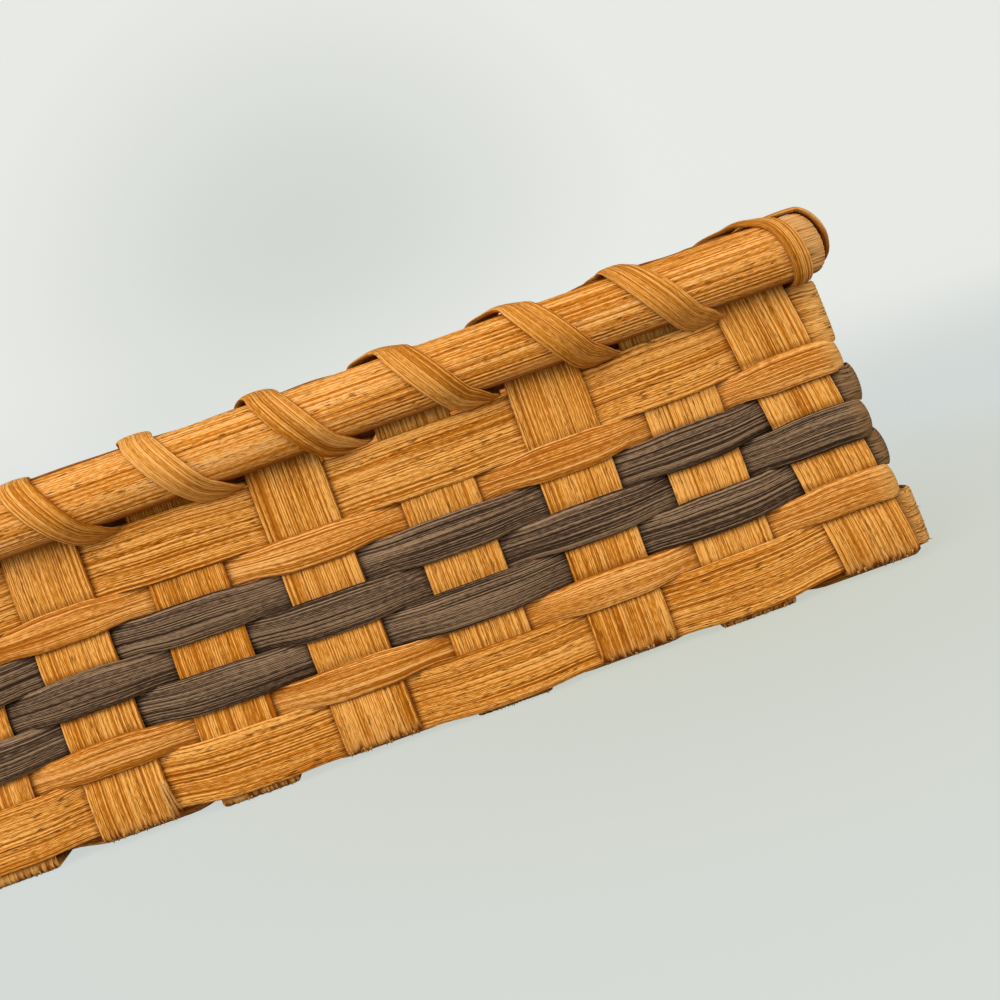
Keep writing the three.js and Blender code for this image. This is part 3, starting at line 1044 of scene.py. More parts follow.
@dataclass
class Rim(Piece):
    """A half-round strip bent round the four walls, flat against the rim row.

    Attributes:
        wall: The walls.
        facing: 1 for the outer rim, -1 for the inner one.
        bulge: How far its round face stands off its back.
        seat: Depth of its flat back.
        drop: How much lower than in the frame it reaches, so that its back, painted dark with shade, fills the
            slot under the outer rim.
        crush: How much thinner the bend leaves it in the corners.
        crush_reach: How far along from a corner that is felt.
        relief: The grooves in its face.
        step: Distance between rings.
        face_points: Points round its round face.
        back_points: Points across its back, edges included.
        fullness: How full its round face is, with 1 for an oval and less for a fuller one.
        swell: Share of its thickness by which it swells and thins.
        shade_from: Share of half its height, under its middle, below which it is darkened with painted shade.
    """

    # How long the swelling is, and how far the corners are frayed.
    SWELL_LENGTH: ClassVar[float] = 70.0
    FRAYED_REACH: ClassVar[float] = 3.5

    wall: Wall
    facing: int
    bulge: float
    seat: float = 2.15
    drop: float = 0.0
    crush: float = 1.5
    crush_reach: float = 5.0
    relief: Relief = field(default_factory=lambda: Relief(0.26, 70.0, 1.0, 0.3))
    step: float = 1.05
    face_points: int = 91
    back_points: int = 11
    fullness: float = 0.9
    swell: float = 0.02
    shade_from: float = 0.8

    def span(self) -> tuple[float, float]:
        """Give the height of its middle and half its own height."""
        low, high = node_box(self.node)
        bottom, top = float(low[2]) - self.drop, float(high[2])
        return (bottom + top) / 2, (top - bottom) / 2

    def thickness(self, run: np.ndarray) -> np.ndarray:
        """Give how far its round face stands off its back at each run."""
        return self.bulge - self.crush * faded(self.wall.to_corner(run), self.crush_reach)

    def build(self) -> bpy.types.Object:
        """Make the rim.

        Returns:
            Its object.
        """
        wander = self.wander()
        (middle, half), turn = self.span(), self.wall.turn
        radius = (half + self.bulge) / 2
        run = np.linspace(0, turn, int(turn / self.step), endpoint=False) + turn / 2
        angle = np.linspace(-math.pi / 2, math.pi / 2, self.face_points)
        back = np.linspace(1, -1, self.back_points)[1:-1]
        round_face = np.concatenate([np.ones(angle.shape), np.zeros(back.shape)])
        profile = np.concatenate([np.cos(angle) ** self.fullness, np.zeros(back.shape)])
        up = half * np.concatenate([np.sin(angle), back])
        arc = np.concatenate([angle * radius, Section.BACK_GROOVES + half * back])
        cut = self.relief.cut(wander, run, arc) * round_face
        shrink = 1 - self.relief.depth * cut / radius
        swell = 1 + self.swell * wander.along(run / self.SWELL_LENGTH)[:, None]
        depth = self.facing * (self.seat + self.thickness(run)[:, None] * profile * shrink * swell)
        under = eased((-up / half - self.shade_from) / (1 - self.shade_from))
        u, v = self.grain(run, arc)
        marks = {
            "hollow": cut,
            "frayed": faded(self.wall.to_corner(run), self.FRAYED_REACH)[:, None],
            # Painted shade on the flat back and on the underside.
            "shade": np.maximum(1 - round_face, under),
            "tone": np.float64(self.tone()),
        }
        rings = self.wall.points(run[:, None], depth, middle + up * shrink)
        return self.mesh([Strip(rings, u, v, marks, loop=True)])


@dataclass
class Lashing(Piece):
    """A flat oval strip wound slantwise round both rims, with one wrap in each gap between stakes.

    A wrap comes down the outer rim at a slant, lies along the slot under it, turns in beside the next
    stake and goes up the inner rim to the next wrap.

    Attributes:
        wall: The walls.
        outer: The outer rim.
        inner: The inner rim.
        first_gap: The gap where it begins, gaps counted from the left of the front wall.
        wraps: How many gaps it passes through.
        width: Its width.
        corner_width: Its width on a corner.
        dive_width: Its width where it curls to pass between two stakes.
        thickness: Its thickness.
        slant: How far along the wall a wrap travels while it comes down the outer rim.
        corner_slant: The same for a wrap on a corner.
        tail: How far it then lies along the slot.
        dive_shift: How far past the middle of its gap it turns in.
        corner_shy: How far before the middle of a corner its wrap turns in.
        corner_rest: How far past a corner the next wrap begins.
        lead: How far it travels while it comes over the rims, for a front gap in its turn.
        sink: How far its middle hangs under the rim's bottom in the slot.
        arch: How high it arches over the rims.
        lift: Room between it and the rims.
        corner_stand_off: How far it stands off the inner rim in a corner.
        skew: How far along it moves while it passes between two stakes.
    """

    # Rings on each stretch of a wrap, and the share of a half turn by which it comes down.
    DOWN_RINGS: ClassVar[int] = 22
    IN_RINGS: ClassVar[int] = 22
    UP_RINGS: ClassVar[int] = 20
    OVER_RINGS: ClassVar[int] = 11
    FALL: ClassVar[float] = 0.7
    CORNER_FALL: ClassVar[float] = 0.98
    # Rounds of smoothing, and how far the ends are frayed.
    WAY_ROUNDS: ClassVar[int] = 4
    SIDE_ROUNDS: ClassVar[int] = 6
    FRAYED_REACH: ClassVar[float] = 2.0

    wall: Wall
    outer: Rim
    inner: Rim
    first_gap: int
    wraps: int = 18
    width: float = 6.6
    corner_width: float = 4.0
    dive_width: float = 3.6
    thickness: float = 1.2
    slant: float = 10.0
    corner_slant: float = 4.4
    tail: float = 6.0
    dive_shift: float = 3.0
    corner_shy: float = 2.3
    corner_rest: float = 1.3
    lead: tuple[float, ...] = (2.0, 2.0, 2.0, 2.0, 3.0, 6.0, 6.0, 2.0, 5.5)
    sink: float = 1.9
    arch: float = 0.8
    lift: float = 0.1
    corner_stand_off: float = 4.1
    skew: float = 0.3
    section: Section = field(default_factory=lambda: Section(29, 11, 0.5, 0.2, 7.0))
    relief: Relief = field(default_factory=lambda: Relief(0.09, 60.0, 0.75, 0.55))

    def is_corner(self, gap: int) -> bool:
        """Tell whether a gap is at a corner."""
        return (gap + 1) % self.wall.stakes_per_side == 0

    def gap_run(self, gap: int) -> float:
        """Run at which the strip turns in through a gap, on past one full turn."""
        wall = self.wall
        if self.is_corner(gap):
            return (gap // wall.stakes_per_side + 0.5) * wall.side_run - self.corner_shy
        before, after = (wall.onward_run(end, wall.rim_bottom) for end in (gap, gap + 1))
        return (before + after) / 2 + self.dive_shift

    def top_run(self, gap: int) -> float:
        """Run at which the wrap that turns in through a gap comes over the top of the outer rim."""
        if self.is_corner(gap):
            return self.gap_run(gap) - self.corner_slant
        if self.is_corner(gap - 1):
            return self.gap_run(gap - 1) + self.corner_shy + self.corner_rest
        return self.gap_run(gap) - self.tail - self.slant

    def lead_in(self, gap: int) -> float:
        """Give how far the strip travels while it comes over the rims to the wrap of a gap."""
        return self.lead[gap % len(self.lead)]

    def on_rim(self, rim: Rim, bulge: object, angle: np.ndarray) -> tuple[np.ndarray, np.ndarray]:
        """Give depth and height of the strip's middle on a rim's face, by its bulge and the angle up it."""
        off = self.lift + self.thickness / 2
        middle, half = rim.span()
        depth = rim.facing * (rim.seat + (bulge + off) * np.cos(angle))
        return depth, middle + (half + off) * np.sin(angle)

    def down(self, gap: int) -> np.ndarray:
        """Give a wrap's way down the outer rim.

        Args:
            gap: The gap that it then passes through.

        Returns:
            Rows of run, depth, height, width and the angle that its face looks at, from straight out.
        """
        top, is_corner = self.top_run(gap), self.is_corner(gap)
        share = np.linspace(0.02, 1.0, self.DOWN_RINGS)
        angle = (0.5 - (self.CORNER_FALL if is_corner else self.FALL) * share) * math.pi
        # On a corner it slants at once, past a corner only at the end, and else as it falls.
        if is_corner:
            path = 1.3 * (1 - (1 - share) ** 3) - 0.3 * share**2
        elif self.is_corner(gap - 1):
            path = share**10
        else:
            path = 0.8 * (1 - np.sin(angle)) / (1 - math.sin(angle[-1]))
        run = top + (self.gap_run(gap) - (0.0 if is_corner else self.tail) - top) * path
        depth, height = self.on_rim(self.outer, self.outer.thickness(run), angle)
        width = np.full(share.shape, self.corner_width if is_corner else self.width)
        return np.stack([run, depth, height, width, angle], axis=1)

    def turned_in(self, gap: int, last: np.ndarray) -> np.ndarray:
        """Give its way on along the slot and in through the gap, in the same rows.

        Args:
            gap: The gap.
            last: The last row of its way down.

        Returns:
            The rows. On a corner there is no slot to lie along.
        """
        run, low, tail, dive = self.gap_run(gap), self.wall.rim_bottom, self.tail, self.dive_width
        is_corner = self.is_corner(gap)
        sink = self.thickness / 2 + self.lift if is_corner else self.sink
        # Places along the slot under the outer rim, then between the stakes.
        slot = [
            [run - tail, 4.4, low - 0.3, self.width, -0.22 * math.pi],
            [run - 0.5 * tail, 3.0, low - 0.7 * sink, self.width - 0.6, -0.28 * math.pi],
            [run - 0.15 * tail, 1.5, low - sink, dive + 0.3, -0.38 * math.pi],
        ]
        through = [
            [run, 0.0, low - sink, dive, -0.5 * math.pi],
            [run + 0.2, -1.5, low - sink, dive, -0.58 * math.pi],
        ]
        stops = np.array([last, *([] if is_corner else slot), *through])
        steps = np.linspace(0, len(stops) - 1, self.IN_RINGS)[1:]
        return np.stack([np.interp(steps, np.arange(len(stops)), column) for column in stops.T], axis=1)

    def up(self, gap: int) -> np.ndarray:
        """Give its way up the inner rim, in the same rows."""
        run = self.gap_run(gap)
        share = np.linspace(0.06, 0.98, self.UP_RINGS)
        angle = (share - 0.5) * math.pi
        bulge = self.inner.bulge + self.corner_stand_off * self.is_corner(gap)
        depth, height = self.on_rim(self.inner, bulge, angle)
        width = self.dive_width + (self.width - self.dive_width) * eased(2 * share)
        reach = max(self.top_run(gap + 1) - run - self.lead_in(gap + 1), 0.0)
        return np.stack([run + self.skew + reach * share, depth, height, width, -math.pi - angle], axis=1)

    def over(self, gap: int) -> np.ndarray:
        """Give the way over the top of the rims from one wrap to the next, in the same rows."""
        share = np.linspace(0.08, 0.92, self.OVER_RINGS)
        end = self.top_run(gap + 1)
        start = max(end - self.lead_in(gap + 1), self.gap_run(gap) + self.skew)
        top = float(self.on_rim(self.outer, 0.0, np.array([math.pi / 2]))[1][0])
        arch = 0.0 if self.is_corner(gap) else self.arch
        rise = top + arch * np.sin(share * math.pi)
        level = np.ones(share.shape)
        run, depth = start + (end - start) * share, self.outer.seat * (2 * share - 1)
        return np.stack([run, depth, rise, self.width * level, -1.5 * math.pi * level], axis=1)

    def way(self) -> np.ndarray:
        """Give the strip's whole way, smoothed, with its facing turning on and on."""
        rows = []
        for step, gap in enumerate(range(self.first_gap, self.first_gap + self.wraps)):
            down = self.down(gap)
            parts = [down, self.turned_in(gap, down[-1]), self.up(gap)]
            if step < self.wraps - 1:
                parts.append(self.over(gap))
            for part in parts:
                part[:, -1] -= 2 * math.pi * step
            rows += parts
        return smoothed(np.concatenate(rows), self.WAY_ROUNDS)

    def build(self) -> bpy.types.Object:
        """Make the lashing strip.

        Returns:
            Its object.
        """
        wander = self.wander()
        run, depth, height, width, facing = self.way().T
        middle = self.wall.points(run, depth, height)
        ahead = np.gradient(middle, axis=0)
        ahead /= np.linalg.norm(ahead, axis=1, keepdims=True)
        angle = self.wall.plan(run, depth)[2]
        level = np.cos(facing)
        out = np.stack([np.sin(angle) * level, -np.cos(angle) * level, np.sin(facing)], axis=1)
        out -= np.sum(out * ahead, axis=1, keepdims=True) * ahead
        out /= np.linalg.norm(out, axis=1, keepdims=True)
        aside = smoothed(np.cross(ahead, out), self.SIDE_ROUNDS)
        aside /= np.linalg.norm(aside, axis=1, keepdims=True)
        along = np.append(0, np.cumsum(np.linalg.norm(np.diff(middle, axis=0), axis=1)))
        across, off = self.section.places()
        cut = self.relief.cut(wander, along, self.section.groove_places(self.width / 2))
        lift = off * (self.thickness / 2 - self.relief.depth * cut * np.minimum(np.abs(off) ** 2, 1))
        reach = width[:, None] / 2 * across
        rings = middle[:, None] + aside[:, None] * reach[..., None] + out[:, None] * lift[..., None]
        u, v = self.grain(along, self.section.grain_places(self.width / 2))
        frayed = faded(np.minimum(along, along[-1] - along), self.FRAYED_REACH)[:, None]
        marks = {"hollow": cut, "frayed": frayed, "tone": np.float64(self.tone())}
        return self.mesh([Strip(rings, u, v, marks)])


@dataclass(frozen=True)
class Fibres:
    """A layer of fibres that run along the grain, for a finish.

    Attributes:
        length: About how long each is.
        width: About how wide each is.
        shift: Where in the pattern the layer begins, so that no two layers match.
        detail: How many finer sizes are mixed in.
    """

    length: float
    width: float
    shift: float
    detail: float = 1.0


class Graph:
    """Adds and joins the nodes of one material."""

    # How rough and how warped the fibres are, and how far a layer's shift goes across the grain.
    ROUGHNESS: ClassVar[float] = 0.6
    DISTORTION: ClassVar[float] = 0.03
    SHIFT_ACROSS: ClassVar[float] = 1.7
    # Sockets of a mix of colours: its share, the two colours, and the result.
    MIX_INPUTS: ClassVar[tuple[int, int, int]] = (0, 6, 7)
    MIX_OUTPUT: ClassVar[int] = 2

    def __init__(self, tree: bpy.types.NodeTree) -> None:
        """Take an empty tree to fill."""
        self.tree = tree
        tree.nodes.clear()

    def node(self, kind: str, inputs: dict | None = None, **settings: object) -> bpy.types.Node:
        """Add a node.

        Args:
            kind: Its type.
            inputs: Values or sockets for its inputs, by name or number.
            settings: Its own settings.

        Returns:
            The node.
        """
        made = self.tree.nodes.new(kind)
        for key, value in settings.items():
            setattr(made, key, value)
        for key, value in (inputs or {}).items():
            if isinstance(value, bpy.types.NodeSocket):
                self.tree.links.new(value, made.inputs[key])
            else:
                made.inputs[key].default_value = value
        return made

    def math(self, how: str, a: object, b: object, clamp: bool = False) -> bpy.types.NodeSocket:
        """Work out one value from two."""
        return self.node("ShaderNodeMath", {0: a, 1: b}, operation=how, use_clamp=clamp).outputs[0]

    def fibres(self, layer: Fibres) -> bpy.types.NodeSocket:
        """Add a layer of fibres, as a value from 0 to 1."""
        grain = self.node("ShaderNodeUVMap", uv_map=MeshMaker.GRAIN).outputs[0]
        place = self.node("ShaderNodeMapping", {
            "Vector": grain,
            "Location": (layer.shift, self.SHIFT_ACROSS * layer.shift, 0.0),
            "Scale": (1 / (layer.length * MM), 1 / (layer.width * MM), 1.0),
        }).outputs[0]
        noise = self.node("ShaderNodeTexNoise", {
            "Vector": place,
            "Scale": 1.0,
            "Detail": layer.detail,
            "Roughness": self.ROUGHNESS,
            "Distortion": self.DISTORTION,
        }, noise_dimensions="2D")
        return noise.outputs[0]

    def mark(self, name: str) -> bpy.types.NodeSocket:
        """Read one of the piece's marks."""
        return self.node("ShaderNodeAttribute", attribute_name=name).outputs["Fac"]

    def ramp(self, value: bpy.types.NodeSocket, stops: tuple, colours: tuple) -> bpy.types.NodeSocket:
        """Turn a value into a colour through stops, with a colour at each."""
        made = self.node("ShaderNodeValToRGB", {0: value})
        elements = made.color_ramp.elements
        while len(elements) < len(stops):
            elements.new(1.0)
        for element, place, colour in zip(elements, stops, colours):
            element.position = place
            element.color = colour
        return made.outputs[0]

    def mixed(self, share: object, a: object, b: object, how: str = "MIX") -> bpy.types.NodeSocket:
        """Mix two colours."""
        made = self.node("ShaderNodeMix", data_type="RGBA", blend_type=how)
        for number, value in zip(self.MIX_INPUTS, (share, a, b)):
            if isinstance(value, bpy.types.NodeSocket):
                self.tree.links.new(value, made.inputs[number])
            else:
                made.inputs[number].default_value = value
        return made.outputs[self.MIX_OUTPUT]


@dataclass(frozen=True)
class Finish:
    """Finish of stained split reed: fine ridges along the grain, dark grooves and short pores.

    Attributes:
        name: Name of the finish.
        dark: Colour of the darkest ridges.
        middle: Colour of most of the face.
        light: Colour of the lightest ridges.
        groove: Colour in the grooves, and of the painted shade.
        pore: Colour of the short dark pores, and of the deepest painted shade.
        bare: Colour of torn and broken fibres.
        fibre_width: About how wide the fibres are, in millimetres.
        grain: How much the short grain shows, from 0 to 1.
        pores: How much the pores show, from 0 to 1.
        grooves: How much the grooves are darkened, from 0 to 1.
        roughness: Mean roughness of the surface.
        bump: How far the fine fibres stand up, in millimetres.
    """

    # The layers that every finish has.
    CLOUD: ClassVar[Fibres] = Fibres(45.0, 6.0, 3.1)
    GRAIN: ClassVar[Fibres] = Fibres(1.5, 0.21, 17.9)
    PORES: ClassVar[Fibres] = Fibres(2.8, 0.3, 23.9)
    PORE_PATCHES: ClassVar[Fibres] = Fibres(26.0, 2.0, 31.0, 2.0)
    TORN: ClassVar[Fibres] = Fibres(4.0, 0.4, 41.0, 2.0)
    FIBRE_LENGTH: ClassVar[float] = 70.0
    FIBRE_SHIFT: ClassVar[float] = 13.3
    # How much each of them counts.
    TONE_SHARE: ClassVar[float] = 0.04
    LEVEL: ClassVar[float] = 0.03
    CLOUD_SHARE: ClassVar[float] = 0.12
    HOLLOW_SHARE: ClassVar[float] = -0.1
    TORN_SHARE: ClassVar[float] = 0.6
    SHADE_SHARE: ClassVar[float] = 0.8
    SHEEN: ClassVar[float] = 0.03
    # Between which values the ridges, grooves, pores, patches of pores and torn fibres change colour.
    RIDGE_STOPS: ClassVar[tuple[float, ...]] = (0.4, 0.5, 0.6)
    GROOVE_STOPS: ClassVar[tuple[float, ...]] = (0.3, 0.85)
    PORE_STOPS: ClassVar[tuple[float, ...]] = (0.6, 0.68)
    PATCH_STOPS: ClassVar[tuple[float, ...]] = (0.42, 0.6)
    TORN_STOPS: ClassVar[tuple[float, ...]] = (0.32, 0.45)
    # How far the roughness sways, and how much the fibres, the grain and the pores count in the bumps.
    ROUGH_SWAY: ClassVar[float] = 0.24
    FIBRE_BUMP: ClassVar[float] = 0.7
    GRAIN_BUMP: ClassVar[float] = 0.4
    PORE_BUMP: ClassVar[float] = 0.5
    BUMP_SHARE: ClassVar[float] = 0.9

    name: str
    dark: tuple
    middle: tuple
    light: tuple
    groove: tuple
    pore: tuple
    bare: tuple
    fibre_width: float = 0.28
    grain: float = 0.28
    pores: float = 0.75
    grooves: float = 0.65
    roughness: float = 0.5
    bump: float = 0.16

    def material(self) -> bpy.types.Material:
        """Give the material, made the first time it is asked for."""
        known = bpy.data.materials.get(self.name)
        if known is not None:
            return known
        made = bpy.data.materials.new(self.name)
        made.use_nodes = True
        self.fill(Graph(made.node_tree))
        return made

    def fill(self, graph: Graph) -> None:
        """Fill a material's tree.

        Args:
            graph: The tree to fill.
        """
        fibre = graph.fibres(Fibres(self.FIBRE_LENGTH, self.fibre_width, self.FIBRE_SHIFT))
        cloud, grain = graph.fibres(self.CLOUD), graph.fibres(self.GRAIN)
        hollow, frayed, tone, shade = (graph.mark(name) for name in ("hollow", "frayed", "tone", "shade"))
        tint = {0: tone, 1: self.TONE_SHARE, 2: self.LEVEL}
        value = graph.node("ShaderNodeMath", tint, operation="MULTIPLY_ADD").outputs[0]
        shares = (self.CLOUD_SHARE, 1 - self.CLOUD_SHARE - self.grain, self.grain, self.HOLLOW_SHARE)
        for layer, share in zip((cloud, fibre, grain, hollow), shares):
            value = graph.math("ADD", value, graph.math("MULTIPLY", layer, share))
        colour = graph.ramp(value, self.RIDGE_STOPS, (self.dark, self.middle, self.light))
        sunk = graph.ramp(hollow, self.GROOVE_STOPS, (BLACK, WHITE))
        sunk = graph.math("MULTIPLY", sunk, self.grooves)
        colour = graph.mixed(sunk, colour, self.groove)
        dash = graph.ramp(graph.fibres(self.PORES), self.PORE_STOPS, (BLACK, WHITE))
        where = graph.ramp(graph.fibres(self.PORE_PATCHES), self.PATCH_STOPS, (BLACK, WHITE))
        pore = graph.math("MULTIPLY", graph.math("MULTIPLY", dash, where), self.pores)
        colour = graph.mixed(pore, colour, self.pore)
        torn = graph.ramp(graph.fibres(self.TORN), self.TORN_STOPS, (self.pore, self.bare))
        colour = graph.mixed(graph.math("MULTIPLY", frayed, self.TORN_SHARE), colour, torn)
        # Painted shade from the shade mark: towards the groove colour, and past 1 on towards the pore colour.
        colour = graph.mixed(graph.math("MULTIPLY", shade, self.SHADE_SHARE, True), colour, self.groove)
        colour = graph.mixed(graph.math("SUBTRACT", shade, 1.0, True), colour, self.pore)
        sway = graph.math("MULTIPLY", fibre, self.ROUGH_SWAY)
        rough = graph.math("ADD", sway, self.roughness - self.ROUGH_SWAY / 2)
        high = graph.math("MULTIPLY", fibre, self.FIBRE_BUMP)
        high = graph.math("ADD", high, graph.math("MULTIPLY", grain, self.GRAIN_BUMP))
        high = graph.math("SUBTRACT", high, graph.math("MULTIPLY", pore, self.PORE_BUMP))
        lumps = {"Strength": self.BUMP_SHARE, "Distance": self.bump * MM, "Height": high}
        shader = graph.node("ShaderNodeBsdfPrincipled", {
            "Base Color": colour,
            "Roughness": rough,
            "Normal": graph.node("ShaderNodeBump", lumps).outputs[0],
            "Specular IOR Level": self.SHEEN,
        })
        graph.node("ShaderNodeOutputMaterial", {"Surface": shader.outputs[0]})


class Reed(Enum):
    """The finishes of the basket's reeds."""

    STAKE = Finish(
        "honey stake", linear(171, 96, 17), linear(202, 129, 43), linear(235, 170, 89),
        linear(120, 58, 6), linear(82, 36, 4), linear(224, 172, 100), pores=0.6, grooves=0.58,
    )
    WIDE = Finish(
        "amber wide weaver", linear(158, 85, 12), linear(194, 120, 34), linear(234, 170, 90),
        linear(110, 50, 4), linear(78, 32, 3), linear(222, 170, 98), grooves=0.75,
    )
    NARROW = Finish(
        "honey narrow weaver", linear(162, 90, 18), linear(197, 125, 46), linear(230, 168, 96),
        linear(120, 58, 6), linear(84, 36, 4), linear(222, 170, 98), pores=0.4, grooves=0.5,
    )
    GREY = Finish(
        "grey dyed weaver", linear(50, 36, 25), linear(87, 66, 50), linear(146, 117, 88),
        linear(36, 25, 16), linear(30, 20, 12), linear(150, 110, 68), fibre_width=0.24, grain=0.22,
        pores=0.35, grooves=0.6,
    )
    RIM = Finish(
        "honey rim", linear(182, 104, 20), linear(214, 141, 56), linear(232, 173, 104),
        linear(136, 67, 4), linear(92, 41, 4), linear(214, 166, 106), grain=0.34, pores=0.75, grooves=0.65,
    )
    LASHING = Finish(
        "honey lashing", linear(162, 91, 16), linear(198, 127, 44), linear(224, 162, 88),
        linear(122, 62, 8), linear(86, 40, 6), linear(224, 170, 98), grain=0.24, pores=0.35, grooves=0.5,
    )


@dataclass(frozen=True)
class Patch:
    """A soft patch of painted shadow, in another colour, on the floor and backdrop.

    Attributes:
        place: Where its middle is, in metres.
        size: How far it reaches, in metres.
        colour: Its colour.
    """

    place: tuple[float, float, float]
    size: float
    colour: tuple


@dataclass(frozen=True)
class Lamp:
    """A square soft lamp that faces the basket.

    Attributes:
        name: Its name.
        place: Where it hangs, in metres.
        size: Its side, in metres.
        power: Its power in watts.
        colour: Its colour.
    """

    # Where every lamp points, in metres.
    AIM: ClassVar[tuple[float, float, float]] = (0.0, -0.08, 0.03)

    name: str
    place: tuple[float, float, float]
    size: float
    power: float
    colour: tuple[float, float, float]

    def hang(self) -> None:
        """Hang the lamp."""
        data = bpy.data.lights.new(self.name, "AREA")
        data.shape = "SQUARE"
        data.size = self.size
        data.energy = self.power
        data.color = self.colour
        lamp = bpy.data.objects.new(self.name, data)
        lamp.location = self.place
        lamp.rotation_euler = (Vector(self.AIM) - Vector(self.place)).to_track_quat("-Z", "Y").to_euler()
        bpy.context.scene.collection.objects.link(lamp)


@dataclass
class Studio:
    """The pale floor and backdrop, the soft light and the view.

    Attributes:
        eye: Where the view is taken from, in millimetres.
        yaw: How far the view turns to the left, in degrees.
        pitch: How far it tilts up.
        roll: How far the camera leans to its right.
        lens: Focal length for a 36 mm wide picture.
        floor_half: Half the floor's side, in millimetres.
        sweep_start: How far behind the basket the floor begins to rise.
        sweep_bend: Radius of its rise.
        backdrop: Colour that the camera sees behind and under the basket.
        lighter: The same where painted light makes it lightest, behind and to the right.
        lighter_way: Which way, and how fast, it lightens, for each metre.
        lighter_span: Where it begins to lighten, and where it is lightest.
        painted_shadow: A patch of painted shadow on the backdrop behind the rim.
        painted_warm_shadow: A patch of painted shadow on the floor by the basket, with a painted warm glow of
            light thrown back from it.
        far_glow: How bright the room is to the camera.
        room_colour: Colour of the room's light.
        room_light: How bright the room's light is.
        floor_glow: Share of what the camera sees of the floor that takes no shadow.
        floor_colour: Colour of the rest.
        bounce_colour: Colour of the light that the floor throws back on the basket.
        lamps: The soft lamps.
    """

    eye: tuple[float, float, float] = (31.9, -341.3, 70.0)
    yaw: float = -1.24
    pitch: float = -7.475
    roll: float = 19.41
    lens: float = 41.65
    floor_half: float = 5000.0
    sweep_start: float = 500.0
    sweep_bend: float = 600.0
    backdrop: tuple = linear(205, 212, 210)
    lighter: tuple = linear(235, 237, 232)
    lighter_way: tuple[float, float, float] = (0.4, 0.6, 0.0)
    lighter_span: tuple[float, float] = (0.4, 1.1)
    painted_shadow: Patch = Patch((-0.05, 1.08, 0.2), 0.4, linear(202, 208, 201))
    painted_warm_shadow: Patch = Patch((0.08, -0.1, 0.0), 0.17, linear(201, 204, 190))
    far_glow: float = 0.92
    room_colour: tuple = (0.93, 0.97, 1.0, 1.0)
    room_light: float = 0.62
    floor_glow: float = 0.91
    floor_colour: tuple = (0.8, 0.8, 0.79, 1.0)
    bounce_colour: tuple = (0.3, 0.3, 0.29, 1.0)
    lamps: tuple[Lamp, ...] = (
        Lamp("window", (-0.7, -0.75, 0.58), 0.75, 7.2, (1.0, 0.98, 0.95)),
        Lamp("fill", (0.8, -0.55, 0.35), 0.7, 3.1, (1.0, 0.94, 0.82)),
        Lamp("sky", (-0.15, -0.8, 0.85), 0.8, 4.3, (0.98, 0.99, 1.0)),
    )

    def camera(self) -> None:
        """Place the camera."""
        turn = Matrix.Rotation(math.radians(self.yaw), 3, "Z")
        turn = turn @ Matrix.Rotation(math.radians(self.pitch), 3, "X")
        turn = turn @ Matrix.Rotation(math.radians(self.roll), 3, "Y")
        right, ahead, up = turn.col[0], turn.col[1], turn.col[2]
        data = bpy.data.cameras.new("view")
        data.sensor_width = 36.0
        data.lens = self.lens
        data.clip_start = 0.01
        camera = bpy.data.objects.new("view", data)
        facing = Matrix((right, up, -ahead)).transposed()
        camera.matrix_world = Matrix.Translation(Vector(self.eye) * MM) @ facing.to_4x4()
        bpy.context.scene.collection.objects.link(camera)
        bpy.context.scene.camera = camera

    def seen(self, graph: "Graph", place: bpy.types.NodeSocket) -> bpy.types.NodeSocket:
        """Give the pale colour that the camera sees, with painted light that makes it lighter behind and to the
        right, and soft patches of painted shadow.

        Args:
            graph: The tree to add to.
            place: Where the colour is asked for.

        Returns:
            The colour.
        """
        cloud = graph.node("ShaderNodeTexNoise", {"Vector": place, "Scale": 1.2, "Detail": 1.0}).outputs[0]
        # Painted light: the colour lightens behind and to the right.
        way = {0: place, 1: self.lighter_way}
        far = graph.node("ShaderNodeVectorMath", way, operation="DOT_PRODUCT").outputs[1]
        colour = graph.ramp(graph.math("ADD", far, cloud), self.lighter_span, (self.backdrop, self.lighter))
        # Painted shadow: darker patches behind the rim and on the floor by the basket.
        for patch in (self.painted_shadow, self.painted_warm_shadow):
            size = 1 / patch.size
            spot = graph.node("ShaderNodeMapping", {
                "Vector": place,
                "Location": tuple(-size * at for at in patch.place),
                "Scale": (size, size, size),
            }).outputs[0]
            near = graph.node("ShaderNodeTexGradient", {0: spot}, gradient_type="SPHERICAL").outputs[1]
            colour = graph.mixed(near, colour, patch.colour)
        return colour

    def world(self) -> None:
        """Set the light all round, and what the camera sees behind everything."""
        world = bpy.data.worlds.new("room")
        bpy.context.scene.world = world
        world.use_nodes = True
        graph = Graph(world.node_tree)
        colour = self.seen(graph, graph.node("ShaderNodeTexCoord").outputs["Generated"])
        seen = graph.node("ShaderNodeBackground", {"Color": colour, "Strength": self.far_glow}).outputs[0]
        room = {"Color": self.room_colour, "Strength": self.room_light}
        light = graph.node("ShaderNodeBackground", room).outputs[0]
        is_camera = graph.node("ShaderNodeLightPath").outputs["Is Camera Ray"]
        mixed = graph.node("ShaderNodeMixShader", {0: is_camera, 1: light, 2: seen}).outputs[0]
        graph.node("ShaderNodeOutputWorld", {"Surface": mixed})

